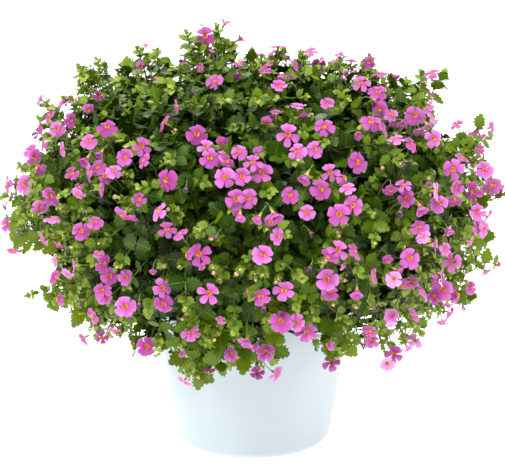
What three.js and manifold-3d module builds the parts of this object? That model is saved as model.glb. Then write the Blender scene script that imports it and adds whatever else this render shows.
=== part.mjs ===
// A bacopa in a plain round pot: a mound of toothed leaves and five-petalled blooms on thin stems.
// Millimetres, +Z up. The origin is the middle of the pot's flat base, where it meets the ground.
//
// The pot and the compost are turned shapes. Each leafy stem stands in its own hole in the compost,
// arches out to its own cell of the mound, thickens there into a core of packed twigs, and carries
// leafy shoots that lie over each other like shingles, with blooms on stalks above them.
import * as THREE from "three";
import { mergeVertices } from "three/addons/utils/BufferGeometryUtils.js";
import Module from "manifold-3d";

const wasm = await Module();
wasm.setup();

// Driving dimensions of the pot.
const POT_HEIGHT = 125;
const POT_FOOT_RADIUS = 61.8; // outside, where the line of the wall would meet the ground
const POT_SLOPE = 0.1726; // how far the wall leans out for each millimetre of height
const POT_WALL = 2.6;
const POT_FLOOR = 3.5;
const POT_FOOT_ROUND = 6; // radius of the rounded lower edge
const POT_RIM_ROUND = 0.8;
const POT_INNER_ROUND = 4;
const POT_SIDES = 32;
const DRAIN_RADIUS = 4;
const DRAIN_CIRCLE = 34;
const DRAIN_COUNT = 4;
const DRAIN_SIDES = 8;

// Driving dimensions of the compost and of the holes that the stems stand in.
const COMPOST_EDGE = 110;
const COMPOST_MIDDLE = 114;
const COMPOST_FLAT = 60; // radius of its level middle, which holds every stem
const CLEARANCE = 0.35;
const COMPOST_GAP = 0.45; // between its side and the pot's, a little more because both have flats
const HOLE_DEPTH = 9;

// Driving dimensions of the mound, a rounded dome that closes in again below the pot's rim. The
// leaves and blooms stand out of it.
const MOUND_RADIUS = 186;
const MOUND_MIDDLE = 185; // height of the widest place
const MOUND_RISE = 110;
const MOUND_DROP = 80;
const MOUND_SQUARENESS = 2.5;
const MOUND_END = THREE.MathUtils.degToRad(154); // where the skirt stops, measured from the top
const MOUND_STEPS = 400;

// Rings of leafy stems: where each ring starts and ends, as shares of the way from the mound's top to
// its skirt's end, and by what share of a cell it is turned.
const RINGS = [
  { from: 0.0, to: 0.12, stems: 1, turn: 0 },
  { from: 0.12, to: 0.34, stems: 6, turn: 0.2 },
  { from: 0.34, to: 0.56, stems: 10, turn: 0.05 },
  { from: 0.56, to: 0.78, stems: 11, turn: 0.31 },
  { from: 0.78, to: 1.0, stems: 9, turn: 0.12 },
];
const STEM_RADIUS = 1.9;
const STEM_SPREAD = 56; // how far from the middle the outermost stems stand
const STEM_UPRIGHT = 48; // how long a stem keeps rising before it arches
const STEM_APPROACH = 58; // over how long it comes in square to the mound's surface
const STEM_NECK = 1; // how far over the compost it stands before it leans
const STEM_PLACES = [0.3, 0.52]; // shares of the arch where the bare stem has a section
const CORE_UNDER = 0.64; // the core's underside, rim and crown, as shares of the arch
const CORE_RIM = 0.84;
const CORE_CROWN = 0.88;
const CORE_TAPER = 0.55; // the underside's width as a share of the rim's
const CORE_GAP = 3; // each core keeps this clear of its cell's border
const CORE_ROUGH = 0.03;
const CORE_CORNER_CUT = 0.05;
const SMALL_STEP = 0.01; // share of a path over which its direction is taken

// Driving dimensions of the leafy shoots: two pairs of leaves and one at the tip. They are drawn
// larger than life, about 3 to 2, so that few of them cover the mound; sprigs keep their true size.
const SHOOT_COUNT = 52;
const SHOOT_LENGTH = 52; // along the rib, to the foot of the leaf at its end
const SHOOT_BOW = 7; // how high the rib bows
const BOW_ANGLE = Math.PI * 0.8; // how much of a half wave the rib bows through
const SHOOT_SINK = 9; // how deep in the mound a shoot starts
const SHOOT_LIFT = 13; // how far its tip stands clear of the mound
const SHORTEST_SHOOT = 0.64; // its least size near the skirt's end, where it has less room
const FIRST_PAIR = 4;
const SECOND_PAIR = 28;
const LEAF_LENGTH = 31;
const LEAF_SWEEP = THREE.MathUtils.degToRad(66); // how far a pair's leaves turn off the rib
const LEAF_THICK = 1.3;
const LEAF_CURL = 3; // how far a leaf's tip lifts
const LEAF_FOLD = 2; // how far its edges fall for its length to each side
const NOTCH_WIDTH = 1.6; // half the width of the rib between two leaves
const NOTCH_PLACES = [0, 20, 44];
const STALK_RADIUS = 1.1;
const STALK_KNEE = 4; // how far behind the shoot's end its stalk bends
const SHOOT_SPAN = SHOOT_LENGTH + LEAF_LENGTH;

// One toothed leaf's edge in its own plane, as shares of its length, from one side to the other.
const LEAF_EDGE = [
  [0.42, -0.41],
  [0.57, -0.26],
  [1, 0],
  [0.57, 0.26],
  [0.42, 0.41],
];

// Driving dimensions of the blooms.
const BLOOM_COUNT = 96;
const BLOOM_RADIUS = 9.6;
const BLOOM_THICK = 1.5;
const BLOOM_LIFT = 11; // the least height of a bloom over the mound, and how much it varies
const BLOOM_LIFT_SPREAD = 9;
const BLOOM_UPTURN = 0.45; // how much more than the mound itself a bloom faces the sky
const PETAL_COUNT = 5;
const PETAL_CORNER = 0.29; // a petal's corners, as a share of the turn from petal to petal
const PETAL_NOTCH = 0.52; // how far out the notch between two petals reaches
const PETAL_RISE = 0.4;
const THROAT_DEPTH = 0.6;
const COLLAR_RADIUS = 2;
const BLOOM_STALK_SIDES = 3;
const BLOOM_STALK_RADIUS = 0.88;

// Sprigs that stand clear of the mound: bearing in degrees from +X, share of the way down from the
// mound's top, and how far the tip stands clear of the mound.
const SPRIGS = [
  { bearing: 121, down: 0.155, reach: 44 },
  { bearing: 15, down: 0.38, reach: 37 },
  { bearing: 0, down: 0.5, reach: 34 },
  { bearing: 354, down: 0.71, reach: 25 },
  { bearing: 189, down: 0.77, reach: 22 },
  { bearing: 178, down: 0.57, reach: 20 },
  { bearing: 184, down: 0.68, reach: 18 },
  { bearing: 251, down: 0.91, reach: 24 },
  { bearing: 302, down: 0.93, reach: 19 },
  { bearing: 324, down: 0.86, reach: 24 },
  { bearing: 206, down: 0.85, reach: 20 },
  { bearing: 75, down: 0.82, reach: 18 },
  { bearing: 140, down: 0.55, reach: 20 },
  { bearing: 38, down: 0.66, reach: 18 },
];
const SPRIG_RISE = 1.05; // radians off the mound's surface
const SPRIG_SIZE = 0.64;
const SPRIG_TURN_SPREAD = 0.3;
const SPRIG_BLOOM_TURN = 0.06; // how far round, and how far uphill, its bloom stands from its shoot
const SPRIG_BLOOM_UPHILL = 0.02;

// How evenly the shoots and blooms are spread, and how much they vary.
const SEED = 32;
const GOLDEN_ANGLE = Math.PI * (3 - Math.sqrt(5));
const DOWN_SPREAD = 0.012;
const BEARING_SPREAD = 0.05;
const LOWEST_PLACE = 0.995;
const SHOOT_LIFT_SPREAD = 7;
const SHOOT_TURN_SPREAD = 0.5;
const SHOOT_SIZE_SPREAD = 0.12;
const SHOOT_UPHILL = 0.9; // shoots start this share of their way down, because they lie downhill
const BLOOM_PHASE = 1.1;
const BLOOM_TILT_SPREAD = 0.35;
const BLOOM_SIZE_SPREAD = 0.1;
const BLOOM_ROLL_SPREAD = 2;

// How a blade may be drawn smaller, or its stalk's foot moved, until it clears its neighbours.
const BLADE_FOLDS = [1, 0.9, 0.8, 0.7];
const HOST_CHOICE = 3; // how many of the nearest stems a blade may grow from
const STALK_FEET = [0.55, 0.3, 0]; // 1 is right under the blade, 0 is the middle of the core
const LEAST_HOLD = 5; // cubic millimetres of a blade that have to lie in what it grows from
const SHOOT_BACKBEND = 0.7; // how far ahead of a blade its stalk may end, as a cosine
const BLOOM_BACKBEND = 0;
const SLIVER = 0.003; // a face lower than this could close up when its corners are rounded

const potMaterial = new THREE.MeshStandardMaterial({ color: 0xdfe8ed, roughness: 0.45, metalness: 0 });
const compostMaterial = new THREE.MeshStandardMaterial({ color: 0x3a2a1e, roughness: 1, metalness: 0 });
const leafMaterial = new THREE.MeshStandardMaterial({ color: 0x4f7a2e, roughness: 0.55, metalness: 0 });

const UP = new THREE.Vector3(0, 0, 1);
const FULL_TURN = Math.PI * 2;
const mix = THREE.MathUtils.lerp;
const radial = (bearing) => new THREE.Vector3(Math.cos(bearing), Math.sin(bearing), 0);

// A small seeded generator, so that every build grows the same plant.
function seededDraw(seed) {
  let state = seed >>> 0;
  return () => {
    state = (state + 0x6d2b79f5) >>> 0;
    let mixed = Math.imul(state ^ (state >>> 15), 1 | state);
    mixed = (mixed + Math.imul(mixed ^ (mixed >>> 7), 61 | mixed)) ^ mixed;
    return ((mixed ^ (mixed >>> 14)) >>> 0) / 4294967296;
  };
}

const about = (draw, spread) => (draw() * 2 - 1) * spread;

// Solids

function solidFromGeometry(geometry) {
  const bare = geometry.clone();
  bare.deleteAttribute("normal");
  bare.deleteAttribute("uv");
  const merged = mergeVertices(bare, 1e-4);
  const vertProperties = new Float32Array(merged.attributes.position.array);
  const triVerts = new Uint32Array(merged.index.array);
  return new wasm.Manifold(new wasm.Mesh({ numProp: 3, vertProperties, triVerts }));
}

function solidFromPoints(points, faces) {
  const vertProperties = new Float32Array(points.flatMap((p) => [p.x, p.y, p.z]));
  const triVerts = new Uint32Array(faces.flat());
  return new wasm.Manifold(new wasm.Mesh({ numProp: 3, vertProperties, triVerts }));
}

// The largest body of a solid: loose scraps are dropped and sealed hollows are filled.
function mainBody(solid) {
  return solid.decompose().reduce((best, body) => (body.volume() > best.volume() ? body : best));
}

// The mesh of a solid, in the frame that `matrix` places it in.
function meshOf(solid, name, material, matrix) {
  const { vertProperties, triVerts, numProp } = solid.getMesh();
  const places = new Float32Array((vertProperties.length / numProp) * 3);
  for (let i = 0; i < places.length / 3; i += 1) {
    places.set(vertProperties.subarray(i * numProp, i * numProp + 3), i * 3);
  }
  const geometry = new THREE.BufferGeometry();
  geometry.setAttribute("position", new THREE.BufferAttribute(places, 3));
  geometry.setIndex(new THREE.BufferAttribute(new Uint32Array(triVerts), 1));
  geometry.applyMatrix4(matrix.clone().invert());
  const mesh = new THREE.Mesh(geometry, material);
  mesh.name = name;
  mesh.applyMatrix4(matrix);
  return mesh;
}

// Pot and compost

const potRadius = (height) => POT_FOOT_RADIUS + POT_SLOPE * height;
const boreRadius = (height) => potRadius(height) - POT_WALL;

function turned(profile) {
  const points = profile.map(([radius, height]) => new THREE.Vector2(radius, height));
  const geometry = new THREE.LatheGeometry(points, POT_SIDES);
  geometry.rotateX(Math.PI / 2); // a lathe turns about Y, and the part stands along Z
  return solidFromGeometry(geometry);
}

// A tapered tub on a flat base, with a rounded lower edge, a plain rim and four drain holes.
function potSolid() {
  const footCurve = [30, 60, 90].map((degrees) => {
    const angle = THREE.MathUtils.degToRad(degrees);
    const height = POT_FOOT_ROUND * (1 - Math.cos(angle));
    return [potRadius(height) - POT_FOOT_ROUND * (1 - Math.sin(angle)), height];
  });
  let pot = turned([
    [0, 0],
    [potRadius(0) - POT_FOOT_ROUND, 0],
    ...footCurve,
    [potRadius(POT_HEIGHT - POT_RIM_ROUND), POT_HEIGHT - POT_RIM_ROUND],
    [potRadius(POT_HEIGHT) - POT_RIM_ROUND, POT_HEIGHT],
    [boreRadius(POT_HEIGHT) + POT_RIM_ROUND, POT_HEIGHT],
    [boreRadius(POT_HEIGHT - POT_RIM_ROUND), POT_HEIGHT - POT_RIM_ROUND],
    [boreRadius(POT_FLOOR + POT_INNER_ROUND), POT_FLOOR + POT_INNER_ROUND],
    [boreRadius(POT_FLOOR) - POT_INNER_ROUND, POT_FLOOR],
    [0, POT_FLOOR],
  ]);
  for (let i = 0; i < DRAIN_COUNT; i += 1) {
    const hole = new THREE.CylinderGeometry(DRAIN_RADIUS, DRAIN_RADIUS, POT_FLOOR * 3, DRAIN_SIDES);
    hole.rotateX(Math.PI / 2);
    const middle = radial(((i + 0.5) / DRAIN_COUNT) * FULL_TURN).multiplyScalar(DRAIN_CIRCLE);
    hole.translate(middle.x, middle.y, POT_FLOOR / 2);
    pot = pot.subtract(solidFromGeometry(hole));
  }
  return pot;
}

// The compost fills the pot to a low crown, with a square hole for each stem.
function compostSolid(stems) {
  const floor = POT_FLOOR + CLEARANCE;
  const side = (height) => boreRadius(height) - COMPOST_GAP;
  let compost = turned([
    [0, floor],
    [side(floor) - POT_INNER_ROUND, floor],
    [side(floor + POT_INNER_ROUND), floor + POT_INNER_ROUND],
    [side(COMPOST_EDGE), COMPOST_EDGE],
    [COMPOST_FLAT, COMPOST_MIDDLE],
    [0, COMPOST_MIDDLE],
  ]);
  const across = (STEM_RADIUS + CLEARANCE) * Math.SQRT2;
  for (const stem of stems) {
    const hole = new THREE.BoxGeometry(across, across, HOLE_DEPTH * 2);
    hole.rotateZ(stem.bearing);
    hole.translate(stem.foot.x, stem.foot.y, COMPOST_MIDDLE);
    compost = compost.subtract(solidFromGeometry(hole));
  }
  return compost;
}

// The mound's surface

// One point of the mound's outline in the plane through the axis, at an angle from the top.
function outlineAt(angle) {
  const power = 2 / MOUND_SQUARENESS;
  const sine = Math.sin(angle);
  const cosine = Math.cos(angle);
  const lift = Math.sign(cosine) * Math.abs(cosine) ** power;
  return {
    r: MOUND_RADIUS * Math.abs(sine) ** power,
    z: MOUND_MIDDLE + lift * (cosine > 0 ? MOUND_RISE : MOUND_DROP),
  };
}

// The outline by even shares of its length, and the area above each of those places.
function walkOutline() {
  const fine = Array.from({ length: MOUND_STEPS + 1 }, (_, i) => outlineAt((MOUND_END * i) / MOUND_STEPS));
  const along = [0];
  for (let i = 1; i < fine.length; i += 1) {
    along.push(along[i - 1] + Math.hypot(fine[i].r - fine[i - 1].r, fine[i].z - fine[i - 1].z));
  }
  const length = along[MOUND_STEPS];
  const at = (share) => {
    const target = Math.min(Math.max(share, 0), 1) * length;
    let i = 1;
    while (i < MOUND_STEPS && along[i] < target) i += 1;
    const part = (target - along[i - 1]) / (along[i] - along[i - 1]);
    return { r: mix(fine[i - 1].r, fine[i].r, part), z: mix(fine[i - 1].z, fine[i].z, part) };
  };
  const areas = [0];
  for (let i = 1; i <= MOUND_STEPS; i += 1) {
    const ringRadius = (at((i - 1) / MOUND_STEPS).r + at(i / MOUND_STEPS).r) / 2;
    areas.push(areas[i - 1] + ringRadius);
  }
  return { at, areas, length };
}

const outline = walkOutline();

function outwardAt(share) {
  const before = outline.at(Math.max(share - SMALL_STEP, 0));
  const after = outline.at(Math.min(share + SMALL_STEP, 1));
  const run = Math.hypot(after.r - before.r, after.z - before.z);
  return { r: -(after.z - before.z) / run, z: (after.r - before.r) / run };
}

// How far down the outline (0 to 1) the given share of the mound's area ends.
function downAtArea(share) {
  const { areas } = outline;
  const target = share * areas[MOUND_STEPS];
  let i = 1;
  while (i < MOUND_STEPS && areas[i] < target) i += 1;
  return (i - 1 + (target - areas[i - 1]) / (areas[i] - areas[i - 1])) / MOUND_STEPS;
}

// A point on the mound with its outward and downhill directions.
function moundAt(down, bearing) {
  const place = outline.at(down);
  const out = outwardAt(down);
  const ray = radial(bearing);
  return {
    point: ray.clone().multiplyScalar(place.r).setZ(place.z),
    outward: ray.clone().multiplyScalar(out.r).setZ(out.z).normalize(),
    downhill: ray.clone().multiplyScalar(out.z).setZ(-out.r).normalize(),
  };
}

// Stems and their cores

// A place on the arch that leads from the compost to the mound: `along` runs from 0 to 1.
function archAt(down, bearing, along) {
  const top = outline.at(down);
  const out = outwardAt(down);
  const start = { r: STEM_SPREAD * down, z: COMPOST_MIDDLE };
  const rise = { r: start.r, z: start.z + STEM_UPRIGHT };
  const near = { r: top.r - out.r * STEM_APPROACH, z: top.z - out.z * STEM_APPROACH };
  const rest = 1 - along;
  const pulls = [rest ** 3, 3 * rest ** 2 * along, 3 * rest * along ** 2, along ** 3];
  const weigh = (key) => [start, rise, near, top].reduce((sum, p, i) => sum + p[key] * pulls[i], 0);
  return radial(bearing).multiplyScalar(weigh("r")).setZ(weigh("z"));
}

function layOutStems() {
  const stems = [];
  for (const ring of RINGS) {
    const width = FULL_TURN / ring.stems;
    const down = ring.stems === 1 ? 0 : (ring.from + ring.to) / 2;
    for (let i = 0; i < ring.stems; i += 1) {
      const bearing = (i + ring.turn) * width;
      const foot = archAt(down, bearing, 0);
      const core = archAt(down, bearing, (CORE_RIM + CORE_UNDER) / 2);
      stems.push({ ring, down, bearing, width, foot, core });
    }
  }
  return stems;
}

// The eight places round a cell's edge, drawn in from its border and then by `share` to its middle.
function cellEdge({ ring, down: middle, bearing, width }, along, share) {
  const gap = CORE_GAP / outline.length;
  if (ring.stems === 1) {
    const down = (ring.to - gap) * share;
    // The stem's square section starts at its corner five eighths of a turn round.
    return Array.from({ length: 8 }, (_, i) => archAt(down, ((i + 5) / 8) * FULL_TURN, along));
  }
  const halfDown = ((ring.to - ring.from) / 2 - gap) * share;
  const places = [[-1, -1], [0, -1], [1, -1], [1, 0], [1, 1], [0, 1], [-1, 1], [-1, 0]];
  return places.map(([a, b]) => {
    const down = middle + a * halfDown;
    const radius = archAt(down, 0, along).x;
    const halfTurn = (width / 2 - CORE_GAP / radius) * share;
    return archAt(down, bearing + b * halfTurn, along);
  });
}

// Adds the faces between two rings of points, which may differ in number.
function bridge(faces, lower, upper) {
  let i = 0;
  let j = 0;
  while (i < lower.length || j < upper.length) {
    const nextLower = (i + 1) / lower.length;
    const nextUpper = (j + 1) / upper.length;
    const a = lower[i % lower.length];
    const b = upper[j % upper.length];
    if (j >= upper.length || (i < lower.length && nextLower <= nextUpper)) {
      faces.push([a, lower[(i + 1) % lower.length], b]);
      i += 1;
    } else {
      faces.push([a, upper[(j + 1) % upper.length], b]);
      j += 1;
    }
  }
}

// The four corners of a stem's square section, at a share of its arch.
function stemSection({ down, bearing }, along) {
  const middle = archAt(down, bearing, along);
  const heading = archAt(down, bearing, along + SMALL_STEP).sub(middle).normalize();
  const side = new THREE.Vector3(-Math.sin(bearing), Math.cos(bearing), 0);
  const front = side.clone().cross(along === 0 ? UP : heading).normalize();
  const half = STEM_RADIUS * Math.SQRT1_2;
  const corners = [[-1, -1], [1, -1], [1, 1], [-1, 1]];
  return corners.map(([a, b]) =>
    middle.clone().addScaledVector(front, a * half).addScaledVector(side, b * half),
  );
}

// A square stem from its hole up the arch, widening into the rough core of its cell.
function stemSolid(stem, draw) {
  const points = [];
  const faces = [];
  const addRing = (ring) => ring.map((p) => points.push(p) - 1);
  const foot = stemSection(stem, 0).map((p) => p.setZ(p.z - HOLE_DEPTH + CLEARANCE));
  const neck = stemSection(stem, 0).map((p) => p.setZ(p.z + STEM_NECK));
  const rim = cellEdge(stem, CORE_RIM, 1).map((p, i) => {
    const pull = (i % 2 ? CORE_CORNER_CUT : 0) + draw() * CORE_ROUGH;
    return p.lerp(stem.core, pull);
  });
  const rings = [
    addRing(foot),
    addRing(neck),
    ...STEM_PLACES.map((along) => addRing(stemSection(stem, along))),
    addRing(cellEdge(stem, CORE_UNDER, CORE_TAPER)),
    addRing(rim),
  ];
  const [crown] = addRing([archAt(stem.down, stem.bearing, CORE_CROWN + draw() * CORE_ROUGH)]);
  const [a, b, c, d] = rings[0];
  faces.push([a, c, b], [a, d, c]);
  for (let i = 1; i < rings.length; i += 1) bridge(faces, rings[i - 1], rings[i]);
  rings.at(-1).forEach((p, i, edge) => faces.push([p, edge[(i + 1) % edge.length], crown]));
  return solidFromPoints(points, faces);
}

// Leafy shoots

// A shoot: two pairs of toothed leaves and one at the tip, cut to the rib in one arched blade. The
// rib starts at `root` and runs along `heading`, with `up` square to it; the stalk ends at `foot`.
// `swell` makes the whole shoot that much fatter, to test what lies near it.
function shootSolid({ root, heading, up, foot, size }, swell) {
  const side = up.clone().cross(heading).normalize();
  const thick = LEAF_THICK / 2 + swell;
  const longer = 1 + swell / (LEAF_LENGTH / 2);
  const points = [];
  const faces = [];
  const add = (p) => points.push(p) - 1;
  const bow = (x) => SHOOT_BOW * Math.sin((x / SHOOT_SPAN) * BOW_ANGLE);
  const place = (x, y, z) =>
    root
      .clone()
      .addScaledVector(heading, x * size)
      .addScaledVector(side, y * size)
      .addScaledVector(up, z * size);
  const ribs = [FIRST_PAIR, SECOND_PAIR, SHOOT_LENGTH];
  const tops = ribs.map((x) => add(place(x, 0, bow(x)).addScaledVector(up, thick)));
  const unders = ribs.map((x) => add(place(x, 0, bow(x)).addScaledVector(up, -thick)));
  const notch = (x, sign) => add(place(x, (NOTCH_WIDTH + swell) * sign, bow(x)));
  const right = NOTCH_PLACES.map((x) => notch(x, -1));
  const left = NOTCH_PLACES.map((x) => notch(x, 1));
  const leafEdge = (x, turn, length) =>
    LEAF_EDGE.map(([u, v]) => {
      const a = x + (Math.cos(turn) * u - Math.sin(turn) * v) * length * longer;
      const b = (Math.sin(turn) * u + Math.cos(turn) * v) * length * longer;
      return add(place(a, b, bow(x) + u * u * LEAF_CURL - Math.abs(v) * LEAF_FOLD));
    });
  const addBlade = (rib, edge) => {
    for (let i = 0; i + 1 < edge.length; i += 1) {
      faces.push([tops[rib], edge[i], edge[i + 1]], [unders[rib], edge[i + 1], edge[i]]);
    }
  };
  for (const i of [0, 1]) {
    const next = i + 1;
    addBlade(i, [right[i], ...leafEdge(ribs[i], -LEAF_SWEEP, LEAF_LENGTH), right[next]]);
    addBlade(i, [left[next], ...leafEdge(ribs[i], LEAF_SWEEP, LEAF_LENGTH), left[i]]);
    faces.push([tops[i], right[next], tops[next]], [tops[i], tops[next], left[next]]);
    faces.push([unders[i], unders[next], right[next]], [unders[i], left[next], unders[next]]);
  }
  addBlade(2, [right[2], ...leafEdge(SHOOT_LENGTH, 0, LEAF_LENGTH), left[2]]);
  // The stalk leaves the rib's open end, a diamond of four points, bends at its knee and runs down
  // into the core.
  const back = heading.clone().negate();
  const knee = place(-STALK_KNEE, 0, 0);
  const run = foot.clone().sub(knee).normalize();
  const stalkRing = (middle, along) => {
    const bend = new THREE.Quaternion().setFromUnitVectors(back, along);
    return [up, side, up.clone().negate(), side.clone().negate()].map((way) =>
      add(middle.clone().addScaledVector(way.clone().applyQuaternion(bend), STALK_RADIUS + swell)),
    );
  };
  const mouth = [tops[0], left[0], unders[0], right[0]];
  const bent = stalkRing(knee, back.clone().add(run).normalize());
  const end = stalkRing(foot, run);
  bridge(faces, mouth, bent);
  bridge(faces, bent, end);
  faces.push([end[0], end[1], end[2]], [end[0], end[2], end[3]]);
  return solidFromPoints(points, faces);
}

// Blooms

// A five-petalled bloom, dished to its throat, with its stalk running back to `foot`. It faces
// along `facing` and is turned about that by `roll`.
function bloomSolid({ root, facing, roll, foot, size }, swell) {
  const isLevel = Math.abs(facing.z) > 0.9; // then +Z is no guide to which way is across it
  const guide = isLevel ? new THREE.Vector3(1, 0, 0) : UP.clone();
  const across = guide.cross(facing).normalize().applyAxisAngle(facing, roll);
  const side = facing.clone().cross(across);
  const radius = BLOOM_RADIUS * size + swell;
  const points = [];
  const faces = [];
  const add = (p) => points.push(p) - 1;
  const place = (angle, r, z) =>
    root
      .clone()
      .addScaledVector(across, Math.cos(angle) * r)
      .addScaledVector(side, Math.sin(angle) * r)
      .addScaledVector(facing, z);
  const petal = FULL_TURN / PETAL_COUNT;
  const rim = [];
  for (let i = 0; i < PETAL_COUNT; i += 1) {
    rim.push(add(place((i - PETAL_CORNER) * petal, radius, PETAL_RISE)));
    rim.push(add(place((i + PETAL_CORNER) * petal, radius, PETAL_RISE)));
    rim.push(add(place((i + 0.5) * petal, radius * PETAL_NOTCH, -PETAL_RISE)));
  }
  const throat = add(place(0, 0, swell - THROAT_DEPTH));
  rim.forEach((a, i) => faces.push([throat, a, rim[(i + 1) % rim.length]]));
  const corners = Array.from({ length: BLOOM_STALK_SIDES }, (_, i) => (i / BLOOM_STALK_SIDES) * FULL_TURN);
  const back = -THROAT_DEPTH - BLOOM_THICK - swell;
  const collar = corners.map((angle) => add(place(angle, COLLAR_RADIUS + swell, back)));
  bridge(faces, collar, rim);
  const heading = root.clone().sub(foot).normalize();
  const end = corners.map((angle) => {
    const outward = place(angle, 1, 0).sub(root);
    const square = outward.addScaledVector(heading, -outward.dot(heading)).normalize();
    return add(foot.clone().addScaledVector(square, BLOOM_STALK_RADIUS + swell));
  });
  bridge(faces, end, collar);
  faces.push([end[0], end[2], end[1]]);
  return solidFromPoints(points, faces);
}

// Where the shoots and blooms grow

// A place on the mound for each of `count` repeats, evenly spread by area along a golden spiral.
function spread(count, draw, phase) {
  return Array.from({ length: count }, (_, k) => {
    const down = downAtArea((k + 0.5) / count) + about(draw, DOWN_SPREAD);
    const bearing = k * GOLDEN_ANGLE + phase + about(draw, BEARING_SPREAD);
    return { down: Math.min(Math.max(down, 0), LOWEST_PLACE), bearing };
  });
}

// The stems whose cores lie nearest to a place, nearest first.
function stemsNear(stems, place) {
  const gap = (stem) => stem.core.distanceTo(place);
  return [...stems].sort((a, b) => gap(a) - gap(b)).slice(0, HOST_CHOICE);
}

// Where a stalk from `place` ends: in its stem's core, by the share `aside` of the way under it.
function footUnder(stem, place, aside) {
  const { outward } = moundAt(stem.down, stem.bearing);
  const offset = place.clone().sub(stem.core);
  offset.addScaledVector(outward, -offset.dot(outward));
  return stem.core.clone().addScaledVector(offset, aside);
}

// A shoot that lies downhill along the mound, turned aside by `turn`, from deep in the mound to a
// tip that stands `lift` clear of it.
function lyingShoot({ down, bearing }, { lift, turn, size }) {
  const room = ((1 - down) * outline.length) / SHOOT_SPAN;
  const fitted = size * Math.min(Math.max(room, SHORTEST_SHOOT), 1);
  const span = fitted * SHOOT_SPAN;
  const start = moundAt(down, bearing);
  const tipDown = Math.min(down + (Math.cos(turn) * span) / outline.length, 1);
  const tipTurn = (Math.sin(turn) * span) / Math.max(outline.at(tipDown).r, SHOOT_SPAN);
  const end = moundAt(tipDown, bearing + tipTurn);
  const root = start.point.clone().addScaledVector(start.outward, -SHOOT_SINK);
  const tip = end.point.clone().addScaledVector(end.outward, lift);
  const heading = tip.sub(root).normalize();
  const up = start.outward.clone().add(end.outward);
  up.addScaledVector(heading, -up.dot(heading)).normalize();
  return { make: shootSolid, root, heading, up, size: fitted, ahead: heading, backbend: SHOOT_BACKBEND };
}

// A sprig that stands clear of the mound by `reach`, leaning downhill.
function standingShoot({ down, bearing }, { reach, turn }) {
  const { point, outward, downhill } = moundAt(down, bearing);
  const flat = downhill.clone().applyAxisAngle(outward, turn);
  const sine = Math.sin(SPRIG_RISE);
  const cosine = Math.cos(SPRIG_RISE);
  const heading = flat.clone().multiplyScalar(cosine).addScaledVector(outward, sine);
  return {
    make: shootSolid,
    root: point.clone().addScaledVector(outward, reach - SHOOT_SPAN * SPRIG_SIZE * sine),
    heading,
    up: outward.clone().multiplyScalar(cosine).addScaledVector(flat, -sine),
    size: SPRIG_SIZE,
    ahead: heading,
    backbend: SHOOT_BACKBEND,
  };
}

function bloomPlan({ down, bearing }, { lift, tilt, size, roll }) {
  const { point, outward } = moundAt(down, bearing);
  const facing = outward.clone().addScaledVector(UP, BLOOM_UPTURN).add(tilt).normalize();
  const root = point.clone().addScaledVector(outward, lift);
  return { make: bloomSolid, root, facing, size, roll, ahead: facing, backbend: BLOOM_BACKBEND };
}

function growPlans() {
  const draw = seededDraw(SEED);
  const plans = [];
  for (const { bearing: degrees, down, reach } of SPRIGS) {
    const bearing = THREE.MathUtils.degToRad(degrees);
    const turn = about(draw, SPRIG_TURN_SPREAD);
    plans.push(standingShoot({ down, bearing }, { reach, turn }));
    const aside = { down: down - SPRIG_BLOOM_UPHILL, bearing: bearing + SPRIG_BLOOM_TURN };
    plans.push(bloomPlan(aside, { lift: reach, tilt: new THREE.Vector3(), size: 1, roll: 0 }));
  }
  for (const { down, bearing } of spread(SHOOT_COUNT, draw, 0)) {
    const lift = SHOOT_LIFT + about(draw, SHOOT_LIFT_SPREAD);
    const turn = about(draw, SHOOT_TURN_SPREAD);
    const size = 1 + about(draw, SHOOT_SIZE_SPREAD);
    plans.push(lyingShoot({ down: down * SHOOT_UPHILL, bearing }, { lift, turn, size }));
  }
  for (const place of spread(BLOOM_COUNT, draw, BLOOM_PHASE)) {
    const lift = BLOOM_LIFT + draw() * BLOOM_LIFT_SPREAD;
    const tilt = new THREE.Vector3();
    for (const axis of ["x", "y", "z"]) tilt[axis] = about(draw, BLOOM_TILT_SPREAD);
    const size = 1 + about(draw, BLOOM_SIZE_SPREAD);
    const roll = draw() * BLOOM_ROLL_SPREAD;
    plans.push(bloomPlan(place, { lift, tilt, size, roll }));
  }
  return plans;
}

const boxesMeet = (a, b) => [0, 1, 2].every((i) => a.min[i] <= b.max[i] && b.min[i] <= a.max[i]);

function hasSliver(solid) {
  const { vertProperties, triVerts, numProp } = solid.getMesh();
  const corner = (i) => new THREE.Vector3().fromArray(vertProperties, triVerts[i] * numProp);
  for (let i = 0; i < triVerts.length; i += 3) {
    const [a, b, c] = [corner(i), corner(i + 1), corner(i + 2)];
    const longest = Math.max(a.distanceTo(b), b.distanceTo(c), c.distanceTo(a));
    if (new THREE.Triangle(a, b, c).getArea() * 2 < SLIVER * longest) return true;
  }
  return false;
}

// A stem's solid with a blade added, or null where the blade crosses another solid or its own
// stalk, hangs loose or would leave a sliver.
function joined(plan, host, others) {
  const run = plan.foot.clone().sub(plan.root).normalize();
  if (run.dot(plan.ahead) > plan.backbend) return null;
  const swollen = plan.make(plan, CLEARANCE);
  const box = swollen.boundingBox();
  const isBlocked = others.some((s) => boxesMeet(box, s.box) && !swollen.intersect(s.solid).isEmpty());
  if (isBlocked) return null;
  const blade = plan.make(plan, 0);
  if (blade.intersect(host.solid).volume() < LEAST_HOLD) return null;
  const solid = mainBody(host.solid.add(blade));
  return hasSliver(solid) ? null : solid;
}

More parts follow.
